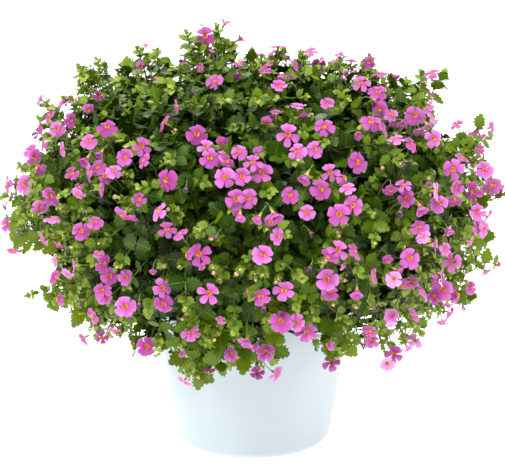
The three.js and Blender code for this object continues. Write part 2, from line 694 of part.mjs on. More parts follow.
// Adds a plan's blade to one of the nearest stems, as large as fits, where it adds the fewest faces.
function growBlade(plan, stems, pot) {
  for (const fold of BLADE_FOLDS) {
    let best = null;
    for (const host of stemsNear(stems, plan.root)) {
      const others = [pot, ...stems].filter((s) => s !== host);
      for (const aside of STALK_FEET) {
        const foot = footUnder(host, plan.root, aside);
        const solid = joined({ ...plan, foot, size: plan.size * fold }, host, others);
        const added = solid ? solid.numTri() - host.solid.numTri() : Infinity;
        if (solid && (!best || added < best.added)) best = { host, solid, added };
      }
    }
    if (!best) continue;
    best.host.solid = best.solid;
    best.host.box = best.solid.boundingBox();
    return;
  }
}

function growStems(pot) {
  const stems = layOutStems();
  const draw = seededDraw(SEED + 1);
  for (const stem of stems) {
    stem.solid = stemSolid(stem, draw);
    stem.box = stem.solid.boundingBox();
  }
  const potBody = { solid: pot, box: pot.boundingBox() };
  for (const plan of growPlans()) growBlade(plan, stems, potBody);
  return stems;
}

// Assembly

const plant = new THREE.Group();
plant.name = "potted_bacopa";
const pot = potSolid();
const stems = growStems(pot);
plant.add(meshOf(pot, "pot", potMaterial, new THREE.Matrix4()));
plant.add(meshOf(compostSolid(stems), "compost", compostMaterial, new THREE.Matrix4()));
const crown = new THREE.Group();
crown.position.set(0, 0, COMPOST_MIDDLE);
plant.add(crown);
stems.forEach((stem, i) => {
  const number = String(i + 1).padStart(2, "0");
  const place = new THREE.Matrix4().makeRotationZ(stem.bearing).setPosition(stem.foot.x, stem.foot.y, 0);
  const lowered = stem.solid.translate([0, 0, -COMPOST_MIDDLE]);
  crown.add(meshOf(lowered, `leafy_stem_${number}`, leafMaterial, place));
});

export default plant;
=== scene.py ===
import math
import random

import bmesh
import bpy
import numpy as np
from mathutils import Matrix, Vector


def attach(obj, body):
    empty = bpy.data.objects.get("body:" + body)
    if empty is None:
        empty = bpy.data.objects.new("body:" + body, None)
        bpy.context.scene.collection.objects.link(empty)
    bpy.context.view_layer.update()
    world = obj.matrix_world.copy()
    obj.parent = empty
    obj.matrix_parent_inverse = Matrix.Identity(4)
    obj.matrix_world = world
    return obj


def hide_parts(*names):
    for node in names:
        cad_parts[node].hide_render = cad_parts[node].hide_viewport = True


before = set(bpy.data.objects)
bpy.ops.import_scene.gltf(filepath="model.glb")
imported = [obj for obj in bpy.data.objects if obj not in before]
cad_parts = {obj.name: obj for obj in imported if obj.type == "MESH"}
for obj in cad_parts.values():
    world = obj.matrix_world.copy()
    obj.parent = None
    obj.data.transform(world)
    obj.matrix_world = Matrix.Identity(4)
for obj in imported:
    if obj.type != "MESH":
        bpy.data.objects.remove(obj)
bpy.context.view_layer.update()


# Camera
# It looks down by 16.5 degrees, which fits the curve of the pot's foot in the photograph. Its
# distance is a guess. It comes first because blooms and sprigs are placed by what it sees.

IMAGE_WIDTH = 505
IMAGE_HEIGHT = 470
MM = 0.001
PIXEL = 0.83 * MM  # what one pixel covers at the middle of the pot
CAMERA_DISTANCE = 2.6
CAMERA_ELEVATION = math.radians(16.5)
FOOT_PIXEL = (253.6, 433.9)  # where the middle of the pot's base is seen
SENSOR_WIDTH = 36  # millimetres, which is how Blender takes it

camera_back = Vector((0, -math.cos(CAMERA_ELEVATION), math.sin(CAMERA_ELEVATION)))
camera_right = Vector((1, 0, 0))
camera_up = camera_back.cross(camera_right)
foot_aside = (FOOT_PIXEL[0] - IMAGE_WIDTH / 2) * PIXEL
foot_under = (FOOT_PIXEL[1] - IMAGE_HEIGHT / 2) * PIXEL
camera_aim = camera_up * foot_under - camera_right * foot_aside
camera_place = camera_aim + camera_back * CAMERA_DISTANCE


def with_back_to(place, back):
    """The transform of a camera or a lamp at a place, with its back towards `back`."""
    return Matrix.Translation(place) @ back.to_track_quat("Z", "Y").to_matrix().to_4x4()


camera_data = bpy.data.cameras.new("photo_camera")
camera_data.sensor_width = SENSOR_WIDTH
camera_data.lens = camera_data.sensor_width * CAMERA_DISTANCE / (IMAGE_WIDTH * PIXEL)
camera_data.clip_start = 0.1
camera_data.clip_end = 50
camera = bpy.data.objects.new("photo_camera", camera_data)
bpy.context.scene.collection.objects.link(camera)
camera.matrix_world = with_back_to(camera_place, camera_back)
bpy.context.scene.camera = camera


def ray_through(x, y):
    """The direction in which the camera sees a pixel of the photograph."""
    aside = (x - IMAGE_WIDTH / 2) * PIXEL
    above = (IMAGE_HEIGHT / 2 - y) * PIXEL
    seen = camera_right * aside + camera_up * above - camera_back * CAMERA_DISTANCE
    return seen.normalized()


# Pot
# A plain tapered bedding tub of injection-moulded polypropylene, 125 mm tall, with a rounded lower
# edge, a plain rim and four drain holes. It is turned from one profile, and its holes are cut.

POT_HEIGHT = 125 * MM
POT_FOOT_RADIUS = 61.8 * MM
POT_SLOPE = 0.1726
POT_WALL = 2.6 * MM
POT_FLOOR = 3.5 * MM
POT_FOOT_ROUND = 6 * MM
POT_INNER_ROUND = 4 * MM
POT_SIDES = 128
FOOT_STEP = 10  # degrees from point to point of its rounded edges
RIM_STEP = 20
INNER_STEP = 15
DRAIN_RADIUS = 4 * MM
DRAIN_CIRCLE = 34 * MM
DRAIN_COUNT = 4
DRAIN_SIDES = 32


def linear(hex_colour):
    """An sRGB hex colour as the linear values that shaders take."""
    parts = [int(hex_colour[i : i + 2], 16) / 255 for i in (1, 3, 5)]
    return [p / 12.92 if p <= 0.04045 else ((p + 0.055) / 1.055) ** 2.4 for p in parts] + [1]


def add_node(tree, kind, settings=None, inputs=None):
    """Adds a node, with its settings, and with a value or a link for each input that is named."""
    node = tree.nodes.new(kind)
    for name, value in (settings or {}).items():
        setattr(node, name, value)
    for key, value in (inputs or {}).items():
        if isinstance(value, bpy.types.NodeSocket):
            tree.links.new(value, node.inputs[key])
        else:
            node.inputs[key].default_value = value
    return node


def new_material(name):
    """An empty material and its node tree."""
    material = bpy.data.materials.new(name)
    material.use_nodes = True
    material.node_tree.nodes.clear()
    return material, material.node_tree


def give_skin(tree, inputs):
    """Ends a material's tree with a surface that has the given inputs."""
    skin = add_node(tree, "ShaderNodeBsdfPrincipled", inputs=inputs)
    add_node(tree, "ShaderNodeOutputMaterial", inputs={"Surface": skin.outputs["BSDF"]})


def noise_at(tree, place, scale, detail):
    """A node of cloudy noise."""
    return add_node(tree, "ShaderNodeTexNoise", inputs={"Vector": place, "Scale": scale, "Detail": detail})


def mixed(tree, share, first, second, blend="MIX"):
    """The mix of two colours, each given as a hex value or as a link."""
    colours = [linear(colour) if isinstance(colour, str) else colour for colour in (first, second)]
    settings = {"data_type": "RGBA", "blend_type": blend}
    inputs = {"Factor": share, 6: colours[0], 7: colours[1]}
    return add_node(tree, "ShaderNodeMix", settings, inputs).outputs[2]


def relief_of(tree, height, strength, distance, sunken=False):
    """The surface directions that make a pattern look raised, or sunken."""
    inputs = {"Height": height, "Strength": strength, "Distance": distance}
    return add_node(tree, "ShaderNodeBump", {"invert": sunken}, inputs).outputs["Normal"]


def new_object(name, mesh):
    thing = bpy.data.objects.new(name, mesh)
    bpy.context.scene.collection.objects.link(thing)
    return thing


def as_plain_mesh(thing):
    """Turns what an object's modifiers give into its own mesh, and removes the modifiers."""
    graph = bpy.context.evaluated_depsgraph_get()
    made = bpy.data.meshes.new_from_object(thing.evaluated_get(graph), depsgraph=graph)
    made.name = thing.name
    thing.modifiers.clear()
    thing.data = made
    return thing


def mesh_of(shape, name):
    """Turns a finished bmesh into a mesh."""
    mesh = bpy.data.meshes.new(name)
    shape.to_mesh(mesh)
    shape.free()
    return mesh


def ring_faces(rings, sides):
    """The faces between rings of points. Each ring has one point for each side, or only one."""
    faces = []
    for lower, upper in zip(rings, rings[1:]):
        for i in range(sides):
            corners = [
                lower[i % len(lower)],
                lower[(i + 1) % len(lower)],
                upper[(i + 1) % len(upper)],
                upper[i % len(upper)],
            ]
            faces.append(list(dict.fromkeys(corners)))
    return faces


def turned_mesh(name, profile, sides):
    """A closed shape turned about the upright axis. The profile starts and ends on the axis."""
    shape = bmesh.new()
    rings = []
    for radius, height in profile:
        count = sides if radius > 0 else 1
        angles = [2 * math.pi * i / count for i in range(count)]
        rings.append([shape.verts.new((radius * math.cos(a), radius * math.sin(a), height)) for a in angles])
    for corners in ring_faces(rings, sides):
        shape.faces.new(corners)
    bmesh.ops.recalc_face_normals(shape, faces=shape.faces)
    for face in shape.faces:
        face.smooth = True
    return mesh_of(shape, name)


def pot_radius(height):
    return POT_FOOT_RADIUS + POT_SLOPE * height


def bore_radius(height):
    return pot_radius(height) - POT_WALL


foot_curve = []
for degrees in range(0, 91, FOOT_STEP):
    angle = math.radians(degrees)
    height = POT_FOOT_ROUND * (1 - math.cos(angle))
    foot_curve.append((pot_radius(height) - POT_FOOT_ROUND * (1 - math.sin(angle)), height))
rim_curve = []
rim_round = POT_WALL / 2
rim_height = POT_HEIGHT - rim_round
rim_middle = pot_radius(rim_height) - rim_round
for degrees in range(0, 181, RIM_STEP):
    angle = math.radians(degrees)
    rim_curve.append((rim_middle + rim_round * math.cos(angle), rim_height + rim_round * math.sin(angle)))
inner_curve = []
for degrees in range(0, 91, INNER_STEP):
    angle = math.radians(degrees)
    height = POT_FLOOR + POT_INNER_ROUND * (1 - math.sin(angle))
    inner_curve.append((bore_radius(height) - POT_INNER_ROUND * (1 - math.cos(angle)), height))
pot_profile = [(0, 0), *foot_curve, *rim_curve, *inner_curve, (0, POT_FLOOR)]
pot = new_object("pot_tub", turned_mesh("pot_tub", pot_profile, POT_SIDES))

drain_shape = bmesh.new()
for i in range(DRAIN_COUNT):
    turn = 2 * math.pi * (i + 0.5) / DRAIN_COUNT
    middle = Vector((DRAIN_CIRCLE * math.cos(turn), DRAIN_CIRCLE * math.sin(turn), POT_FLOOR / 2))
    bmesh.ops.create_cone(
        drain_shape,
        cap_ends=True,
        segments=DRAIN_SIDES,
        radius1=DRAIN_RADIUS,
        radius2=DRAIN_RADIUS,
        depth=POT_FLOOR * 3,
        matrix=Matrix.Translation(middle),
    )
drain_cutter = new_object("drain_cutter", mesh_of(drain_shape, "drain_cutter"))
cut = pot.modifiers.new("drain holes", "BOOLEAN")
cut.operation = "DIFFERENCE"
cut.solver = "EXACT"
cut.object = drain_cutter
as_plain_mesh(pot)
bpy.data.objects.remove(drain_cutter)

# Moulded polypropylene: a satin skin with a faint spark-eroded grain, coarser here than the real
# 0.1 mm so that it shows, and slight clouding of its pale bluish white.
POT_COLOUR = "#C6D0D7"
POT_CLOUD = "#BFC9D1"
POT_GRAIN = 0.6 * MM
pot_material, tree = new_material("moulded_polypropylene")
place = add_node(tree, "ShaderNodeTexCoord").outputs["Object"]
cloud = noise_at(tree, place, 14, 2).outputs["Fac"]
grain = noise_at(tree, place, 1 / POT_GRAIN, 1).outputs["Fac"]
give_skin(
    tree,
    {
        "Base Color": mixed(tree, cloud, POT_COLOUR, POT_CLOUD),
        "Roughness": 0.42,
        "IOR": 1.49,
        "Normal": relief_of(tree, grain, 0.05, 0.1 * MM),
    },
)
pot.data.materials.clear()
pot.data.materials.append(pot_material)
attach(pot, "root")
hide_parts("pot")


# Compost
# Moist peat and bark that fills the tub to just under its rim, with a low crown. It is turned from
# one profile, roughened, and strewn with bark crumbs.

COMPOST_EDGE = 110 * MM
COMPOST_MIDDLE = 114 * MM
COMPOST_GAP = 0.45 * MM
COMPOST_SIDES = 72
COMPOST_STEPS = 12  # rings of its top, from its edge inwards
COMPOST_RISES = 3  # its top rises over the outer third of its radius, and is level inside
COMPOST_ROUGH = 1.6 * MM
COMPOST_LUMPS = 120  # how fine its lumps are
TOP_SLACK = 0.2 * MM  # what lies higher over its edge than this is its top
CRUMB_COUNT = 700
CRUMB_SIZE = 2.6 * MM
CRUMB_FLATNESS = 0.55
CRUMB_TURNS = ((-0.5, -0.5, 0.0), (0.5, 0.5, 6.28))  # least and most, in radians
CRUMB_SIZES = ((0.5, 0.4, 0.4), (1.6, 1.0, 1.0))

compost_side = [
    (bore_radius(POT_FLOOR) - COMPOST_GAP - POT_INNER_ROUND, POT_FLOOR + COMPOST_GAP),
    (bore_radius(POT_FLOOR + POT_INNER_ROUND) - COMPOST_GAP, POT_FLOOR + POT_INNER_ROUND),
    (bore_radius(COMPOST_EDGE) - COMPOST_GAP, COMPOST_EDGE),
]
compost_top = []
for step in range(1, COMPOST_STEPS):
    share = step / COMPOST_STEPS
    radius = (bore_radius(COMPOST_EDGE) - COMPOST_GAP) * (1 - share)
    rise = (COMPOST_MIDDLE - COMPOST_EDGE) * min(share * COMPOST_RISES, 1)
    compost_top.append((radius, COMPOST_EDGE + rise))
compost_profile = [(0, POT_FLOOR + COMPOST_GAP), *compost_side, *compost_top, (0, COMPOST_MIDDLE)]
compost = new_object("compost_fill", turned_mesh("compost_fill", compost_profile, COMPOST_SIDES))

# A crumb of bark: a low lump with twenty faces.
crumb_shape = bmesh.new()
bmesh.ops.create_icosphere(crumb_shape, subdivisions=1, radius=0.5)
for vertex in crumb_shape.verts:
    vertex.co.z *= CRUMB_FLATNESS
crumb = new_object("bark_crumb", mesh_of(crumb_shape, "bark_crumb"))

# Peat and bark: dull, dark, with no sheen, and mottled at the size of its crumbs.
COMPOST_DARK = "#1E140D"
COMPOST_LIGHT = "#4A3524"
compost_material, tree = new_material("moist_peat_compost")
place = add_node(tree, "ShaderNodeTexCoord").outputs["Object"]
mottle = noise_at(tree, place, 1 / CRUMB_SIZE, 4).outputs["Fac"]
give_skin(
    tree,
    {
        "Base Color": mixed(tree, mottle, COMPOST_DARK, COMPOST_LIGHT),
        "Roughness": 0.95,
        "Normal": relief_of(tree, mottle, 0.6, 1 * MM),
    },
)


def new_tree(name, sockets):
    """A geometry tree with named inputs. Returns the tree, its input node and the identifiers."""
    made = bpy.data.node_groups.new(name, "GeometryNodeTree")
    made.interface.new_socket("Geometry", in_out="INPUT", socket_type="NodeSocketGeometry")
    made.interface.new_socket("Geometry", in_out="OUTPUT", socket_type="NodeSocketGeometry")
    identifiers = {}
    for label, kind in sockets.items():
        socket = made.interface.new_socket(label, in_out="INPUT", socket_type="NodeSocket" + kind)
        identifiers[label] = socket.identifier
    return made, made.nodes.new("NodeGroupInput"), identifiers


def grow(thing, tree_made, identifiers, values):
    """Runs a geometry tree on an object with the given inputs and keeps the plain mesh."""
    modifier = thing.modifiers.new(tree_made.name, "NODES")
    modifier.node_group = tree_made
    for label, value in values.items():
        modifier[identifiers[label]] = value
    return as_plain_mesh(thing)


def calculated(tree, operation, *values, clamped=False):
    """A number worked out from others in a tree."""
    settings = {"operation": operation, "use_clamp": clamped}
    return add_node(tree, "ShaderNodeMath", settings, dict(enumerate(values))).outputs[0]


def random_vector(tree, lowest, highest, seed):
    """A random vector for each instance, between two given ones."""
    inputs = {0: lowest, 1: highest, "Seed": seed}
    return add_node(tree, "FunctionNodeRandomValue", {"data_type": "FLOAT_VECTOR"}, inputs).outputs[0]


def with_material(tree, geometry, material):
    inputs = {"Geometry": geometry, "Material": material}
    return add_node(tree, "GeometryNodeSetMaterial", inputs=inputs).outputs[0]


def joined(tree, parts):
    both = add_node(tree, "GeometryNodeJoinGeometry")
    for part in parts:
        tree.links.new(part, both.inputs[0])
    return both.outputs[0]


tree, given, compost_inputs = new_tree(
    "Rough compost with crumbs",
    {"Crumb": "Object", "Crumb size": "Float", "Crumbs per area": "Float", "Roughness": "Float",
     "Seed": "Int", "Material": "Material"},
)
place = add_node(tree, "GeometryNodeInputPosition").outputs[0]
height = add_node(tree, "ShaderNodeSeparateXYZ", inputs={0: place}).outputs["Z"]
is_top = add_node(
    tree,
    "FunctionNodeCompare",
    {"data_type": "FLOAT", "operation": "GREATER_THAN"},
    {0: height, 1: COMPOST_EDGE + TOP_SLACK},
).outputs[0]
lumps = noise_at(tree, place, COMPOST_LUMPS, 3).outputs[0]
drop = calculated(tree, "MULTIPLY", lumps, given.outputs["Roughness"])
drop = calculated(tree, "MULTIPLY", drop, -1)
sunk = add_node(tree, "ShaderNodeCombineXYZ", inputs={"Z": drop}).outputs[0]
rough = add_node(
    tree,
    "GeometryNodeSetPosition",
    inputs={"Geometry": given.outputs["Geometry"], "Selection": is_top, "Offset": sunk},
).outputs[0]
points = add_node(
    tree,
    "GeometryNodeDistributePointsOnFaces",
    inputs={
        "Mesh": rough,
        "Selection": is_top,
        "Density": given.outputs["Crumbs per area"],
        "Seed": given.outputs["Seed"],
    },
)
spin = random_vector(tree, *CRUMB_TURNS, given.outputs["Seed"])
bulk = random_vector(tree, *CRUMB_SIZES, given.outputs["Seed"])
scaled = add_node(
    tree,
    "ShaderNodeVectorMath",
    {"operation": "SCALE"},
    {0: bulk, "Scale": given.outputs["Crumb size"]},
)
source = add_node(tree, "GeometryNodeObjectInfo", inputs={"Object": given.outputs["Crumb"]})
crumbs = add_node(
    tree,
    "GeometryNodeInstanceOnPoints",
    inputs={
        "Points": points.outputs["Points"],
        "Instance": source.outputs["Geometry"],
        "Rotation": spin,
        "Scale": scaled.outputs[0],
    },
)
both = joined(tree, (rough, crumbs.outputs[0]))
real = add_node(tree, "GeometryNodeRealizeInstances", inputs={0: both}).outputs[0]
finished = with_material(tree, real, given.outputs["Material"])
add_node(tree, "NodeGroupOutput", inputs={0: finished})
compost_area = math.pi * bore_radius(COMPOST_EDGE) ** 2
grow(
    compost,
    tree,
    compost_inputs,
    {
        "Crumb": crumb,
        "Crumb size": CRUMB_SIZE,
        "Crumbs per area": CRUMB_COUNT / compost_area,
        "Roughness": COMPOST_ROUGH,
        "Seed": 3,
        "Material": compost_material,
    },
)
bpy.data.objects.remove(crumb)
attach(compost, "root")
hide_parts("compost")


# Mound
# The plant's shape: a rounded dome of foliage that closes in again below the rim of the pot. Every
# shoot and bloom is placed by a share of the way down its outline and a bearing round it.

MOUND_RADIUS = 186 * MM
MOUND_MIDDLE = 185 * MM
MOUND_RISE = 110 * MM
MOUND_DROP = 86 * MM
MOUND_SQUARENESS = 2.5
MOUND_END = math.radians(154)
MOUND_STEPS = 400
GOLDEN_ANGLE = math.pi * (3 - math.sqrt(5))


def signed_power(value, power):
    return math.copysign(abs(value) ** power, value)


mound_fine = []
for step in range(MOUND_STEPS + 1):
    angle = MOUND_END * step / MOUND_STEPS
    lift = signed_power(math.cos(angle), 2 / MOUND_SQUARENESS)
    radius = MOUND_RADIUS * signed_power(math.sin(angle), 2 / MOUND_SQUARENESS)
    mound_fine.append((radius, MOUND_MIDDLE + lift * (MOUND_RISE if lift > 0 else MOUND_DROP)))
mound_fine = np.array(mound_fine)
mound_along = np.concatenate([[0], np.cumsum(np.linalg.norm(np.diff(mound_fine, axis=0), axis=1))])
MOUND_LENGTH = mound_along[-1]


def outline_at(share):
    """Radius and height of the mound's outline at a share of its length from the top."""
    target = min(max(share, 0), 1) * MOUND_LENGTH
    radius = np.interp(target, mound_along, mound_fine[:, 0])
    return radius, np.interp(target, mound_along, mound_fine[:, 1])


outline_shares = np.linspace(0, 1, MOUND_STEPS + 1)
ring_radii = np.array([outline_at(share)[0] for share in outline_shares])
ring_areas = np.concatenate([[0], np.cumsum((ring_radii[1:] + ring_radii[:-1]) / 2)])


def down_at_area(share):
    """How far down the outline the given share of the mound's area ends."""
    return float(np.interp(share * ring_areas[-1], ring_areas, outline_shares))


def mound_at(down, bearing):
    """A point on the mound, with its outward and its downhill direction."""
    step = 0.01
    radius, height = outline_at(down)
    before = outline_at(max(down - step, 0))
    after = outline_at(min(down + step, 1))
    run = math.hypot(after[0] - before[0], after[1] - before[1])
    out = (-(after[1] - before[1]) / run, (after[0] - before[0]) / run)
    ray = Vector((math.cos(bearing), math.sin(bearing), 0))
    point = ray * radius + Vector((0, 0, height))
    outward = (ray * out[0] + Vector((0, 0, out[1]))).normalized()
    downhill = (ray * out[1] - Vector((0, 0, out[0]))).normalized()
    return point, outward, downhill


def mound_level(point):
    """How far outside the mound a point is, roughly, in metres; inside it is negative."""
    radius = math.hypot(point.x, point.y)
    height = point.z - MOUND_MIDDLE
    half_height = MOUND_RISE if height > 0 else MOUND_DROP
    power = MOUND_SQUARENESS
    level = ((radius / MOUND_RADIUS) ** power + abs(height / half_height) ** power) ** (1 / power)
    distance = math.hypot(radius, height)
    return distance * (1 - 1 / max(level, 1e-6))


def outward_near(point):
    """The direction away from the mound at a point near its surface."""
    step = 1 * MM
    slope = Vector()
    for axis in range(3):
        shift = Vector((0, 0, 0))
        shift[axis] = step
        slope[axis] = mound_level(point + shift) - mound_level(point - shift)
    return slope.normalized()


RAY_LEAD = 0.35  # metres before the plant's middle at which the search along a ray begins
RAY_STEP = 2.5 * MM
RAY_STEPS = 260
GRAZING_SLACK = 4 * MM  # how much the level may change along the stretch where a ray grazes the mound
GRAZING_SHARE = 0.6  # how much of that stretch is used
COLUMN_SPREAD = 0.618  # neighbouring columns of pixels get places this share of it apart


def seen_at(x, y, lift):
    """Where a pixel's ray comes within `lift` of the mound, or passes it most nearly.

    A ray that grazes the mound stays near it for a while. The pixel's column then says how far along
    that stretch the point lies, so that what is seen at the mound's edge doesn't stand in a line.
    """
    ray = ray_through(x, y)
    places = [camera_place + ray * (CAMERA_DISTANCE - RAY_LEAD + i * RAY_STEP) for i in range(RAY_STEPS)]
    levels = [mound_level(place) for place in places]
    wanted = max(lift, min(levels))
    first = next(i for i, level in enumerate(levels) if level <= wanted + GRAZING_SLACK)
    last = first
    while last + 1 < len(levels) and abs(levels[last + 1] - wanted) <= GRAZING_SLACK:
        last += 1
    share = 0.5 + (x * COLUMN_SPREAD % 1 - 0.5) * GRAZING_SHARE
    return places[first + round((last - first) * share)]


# The edge of the foliage as the photograph shows it, clockwise from its far left, in its pixels. The
# points were read from enlarged pieces of the photograph.
CROWN_OUTLINE = [
    (0, 228), (0, 218), (14, 217), (10, 206), (0, 206), (3, 197), (3, 176), (13, 176), (21, 163),
    (28, 162), (28, 150), (30, 142), (38, 138), (37, 128), (38, 121), (35, 115), (38, 103), (42, 94),
    (45, 104), (56, 101), (60, 94), (64, 92), (77, 94), (85, 91), (72, 90), (75, 84), (78, 67),
    (88, 62), (95, 60), (103, 57), (110, 64), (118, 61), (130, 61), (131, 55), (141, 47), (146, 43),
    (152, 48), (160, 49), (162, 56), (168, 55), (176, 53), (177, 45), (187, 42), (185, 32), (194, 32),
    (200, 22), (215, 20), (219, 15), (232, 28), (225, 32), (229, 38), (233, 32), (247, 46), (253, 49),
    (255, 54), (268, 55), (269, 46), (280, 44), (289, 48), (293, 56), (296, 53), (302, 50), (308, 45),
    (319, 48), (325, 60), (332, 60), (336, 53), (346, 56), (359, 56), (365, 55), (371, 55), (376, 64),
    (384, 69), (388, 68), (401, 78), (410, 79), (413, 76), (421, 82), (418, 70), (426, 67), (437, 68),
    (443, 75), (447, 88), (441, 93), (433, 98), (437, 114), (440, 124), (442, 134), (458, 139),
    (465, 134), (467, 128), (470, 121), (480, 119), (492, 121), (498, 130), (496, 136), (488, 140),
    (485, 146), (490, 154), (494, 160), (493, 168), (489, 176), (493, 179), (503, 185), (505, 192),
    (505, 199), (486, 202), (489, 213), (493, 224), (489, 234), (485, 241), (476, 238), (471, 246),
    (480, 254), (485, 251), (493, 257), (505, 261), (505, 268), (497, 270), (493, 280), (487, 278),
    (478, 270), (468, 273), (468, 280), (475, 285), (478, 295), (468, 308), (453, 311), (452, 317),
    (441, 328), (438, 320), (426, 323), (422, 332), (425, 340), (413, 348), (408, 357), (402, 362),
    (389, 367), (380, 363), (376, 352), (358, 348), (350, 357), (341, 358), (341, 365), (338, 371),
    (327, 368), (320, 358), (315, 352), (313, 341), (304, 341), (294, 333), (283, 333), (271, 332),
    (267, 336), (272, 343), (280, 354), (279, 362), (285, 368), (280, 380), (274, 384), (262, 382),
    (255, 382), (246, 370), (236, 366), (229, 373), (221, 376), (207, 375), (206, 380), (198, 386),
    (189, 385), (184, 388), (180, 378), (174, 366), (181, 353), (174, 356), (167, 353), (156, 359),
    (146, 357), (140, 363), (130, 353), (111, 341), (100, 345), (87, 345), (79, 337), (86, 323),
    (77, 321), (70, 311), (54, 311), (45, 306), (38, 297), (31, 307), (24, 303), (24, 287), (31, 286),
    (34, 294), (45, 293), (49, 280), (59, 270), (50, 261), (53, 252), (62, 251), (54, 246), (45, 245),
    (36, 240), (43, 236), (30, 236), (20, 239), (17, 247), (23, 252), (12, 255), (7, 251), (10, 242),
    (8, 232),
]
outline_from = np.array(CROWN_OUTLINE, dtype=float)
outline_to = np.roll(outline_from, -1, axis=0)
SIDE_MARGIN = 1.5  # pixels inside the photograph's sides at which the outline still says what is seen


def seen_pixel(point):
    """The pixel of the photograph that shows a point."""
    away = point - camera_place
    scale = CAMERA_DISTANCE / (-away.dot(camera_back)) / PIXEL
    x = IMAGE_WIDTH / 2 + away.dot(camera_right) * scale
    return x, IMAGE_HEIGHT / 2 - away.dot(camera_up) * scale


def is_in_crown(point):
    """Whether the photograph has foliage where a point is seen. Past its sides it is taken to."""
    x, y = seen_pixel(point)
    x = min(max(x, SIDE_MARGIN), IMAGE_WIDTH - SIDE_MARGIN)
    crosses = (outline_from[:, 1] > y) != (outline_to[:, 1] > y)
    rise = np.where(crosses, outline_to[:, 1] - outline_from[:, 1], 1)
    share = (y - outline_from[:, 1]) / rise
    edge = outline_from[:, 0] + share * (outline_to[:, 0] - outline_from[:, 0])
    return bool(np.sum(crosses & (edge > x)) % 2)


# Leafy stems
# 37 green stems stand in the compost and arch out to their own part of the mound. Deep in each part
# a lump of old twigs and dead leaves makes a dark tangle, near black with painted shade, which the
# leafy shoots grow from.

RINGS = [
    {"from": 0.0, "to": 0.12, "stems": 1, "turn": 0},
    {"from": 0.12, "to": 0.34, "stems": 6, "turn": 0.2},
    {"from": 0.34, "to": 0.56, "stems": 10, "turn": 0.05},
    {"from": 0.56, "to": 0.78, "stems": 11, "turn": 0.31},
    {"from": 0.78, "to": 1.0, "stems": 9, "turn": 0.12},
]
STEM_RADIUS = 1.9 * MM
STEM_SPREAD = 56 * MM
STEM_UPRIGHT = 48 * MM
STEM_APPROACH = 58 * MM
STEM_SUNK = 8 * MM  # how deep it stands in the compost
STEM_STEPS = 10
STEM_REACH = 0.9  # the share of its arch that a stem is drawn for
STEM_KEPT = 3  # how many points from its foot are kept wherever they are seen
STEM_AGE = 0.4
TWIG_FOOT = 1.2  # a twig's thickness at its foot, as a share of the radius it is given
TWIG_THINNING = 0.5  # how much of that share it loses up to its tip
TWIG_FOOT_AGE = 0.6  # how much older it is at its foot
TANGLE_UNDER = 0.64  # its underside and its top, as shares of the arch
TANGLE_TOP = 0.84
TANGLE_TAPER = 0.75  # how much of its part of the mound it fills below, and above
TANGLE_REACH = 1.02
TANGLE_GRID = 9
TANGLE_ROUGH = 0.03
TANGLE_CLEAR = 0.06  # it ends this share of its arch before the edge of the foliage,
TANGLE_STEP = 0.03  # and is drawn in by this share at a time until it does,
TANGLE_LEAST = 0.3  # down to about this share of its arch

# The draws that place the plant's parts all come from this one, in the order of the script. The
# shapes of the blooms have seeds of their own.
draw = random.Random(11)


def arch_at(down, bearing, along):
    """A place on the arch that leads from the compost to the mound."""
    top, outward, _ = mound_at(down, bearing)
    ray = Vector((math.cos(bearing), math.sin(bearing), 0))
    start = ray * STEM_SPREAD * down + Vector((0, 0, COMPOST_MIDDLE))
    rise = start + Vector((0, 0, STEM_UPRIGHT))
    near = top - outward * STEM_APPROACH
    rest = 1 - along
    pulls = (rest**3, 3 * rest**2 * along, 3 * rest * along**2, along**3)
    return start * pulls[0] + rise * pulls[1] + near * pulls[2] + top * pulls[3]


def cell_place(stem, a, b, along):
    """A place under a stem's part of the mound: `a` runs down it and `b` round it, from -1 to 1."""
    ring = stem["ring"]
    if ring["stems"] == 1:
        return arch_at(ring["to"] * max(abs(a), abs(b)), math.atan2(b, a), along)
    half = (ring["to"] - ring["from"]) / 2
    return arch_at(stem["down"] + a * half, stem["bearing"] + b * stem["width"] / 2, along)


stems = []
for ring in RINGS:
    width = 2 * math.pi / ring["stems"]
    down = 0 if ring["stems"] == 1 else (ring["from"] + ring["to"]) / 2
    for i in range(ring["stems"]):
        bearing = (i + ring["turn"]) * width
        core = arch_at(down, bearing, (TANGLE_UNDER + TANGLE_TOP) / 2)
        stems.append({"ring": ring, "down": down, "bearing": bearing, "width": width, "core": core})
stem_cores = np.array([stem["core"] for stem in stems])


def nearest_stem(place):
    return int(np.argmin(np.linalg.norm(stem_cores - np.array(place), axis=1)))


def add_tangle(shape, stem):
    """Adds a closed rough lump that fills a stem's part of the mound under its leaves."""
    sheets = []
    for along, reach in ((TANGLE_UNDER, TANGLE_TAPER), (TANGLE_TOP, TANGLE_REACH)):
        sheet = []
        for i in range(TANGLE_GRID):
            a = (2 * i / (TANGLE_GRID - 1) - 1) * reach
            row = []
            for j in range(TANGLE_GRID):
                b = (2 * j / (TANGLE_GRID - 1) - 1) * reach
                share = along + draw.uniform(-TANGLE_ROUGH, TANGLE_ROUGH)
                while share > TANGLE_LEAST and not is_in_crown(cell_place(stem, a, b, share + TANGLE_CLEAR)):
                    share -= TANGLE_STEP
                row.append(shape.verts.new(cell_place(stem, a, b, share)))
            sheet.append(row)
        sheets.append(sheet)
    under, top = sheets
    last = TANGLE_GRID - 1
    for i in range(last):
        for j in range(last):
            for sheet in sheets:
                shape.faces.new((sheet[i][j], sheet[i + 1][j], sheet[i + 1][j + 1], sheet[i][j + 1]))
        shape.faces.new((under[i][0], under[i + 1][0], top[i + 1][0], top[i][0]))
        shape.faces.new((under[i][last], under[i + 1][last], top[i + 1][last], top[i][last]))
        shape.faces.new((under[0][i], under[0][i + 1], top[0][i + 1], top[0][i]))
        shape.faces.new((under[last][i], under[last][i + 1], top[last][i + 1], top[last][i]))
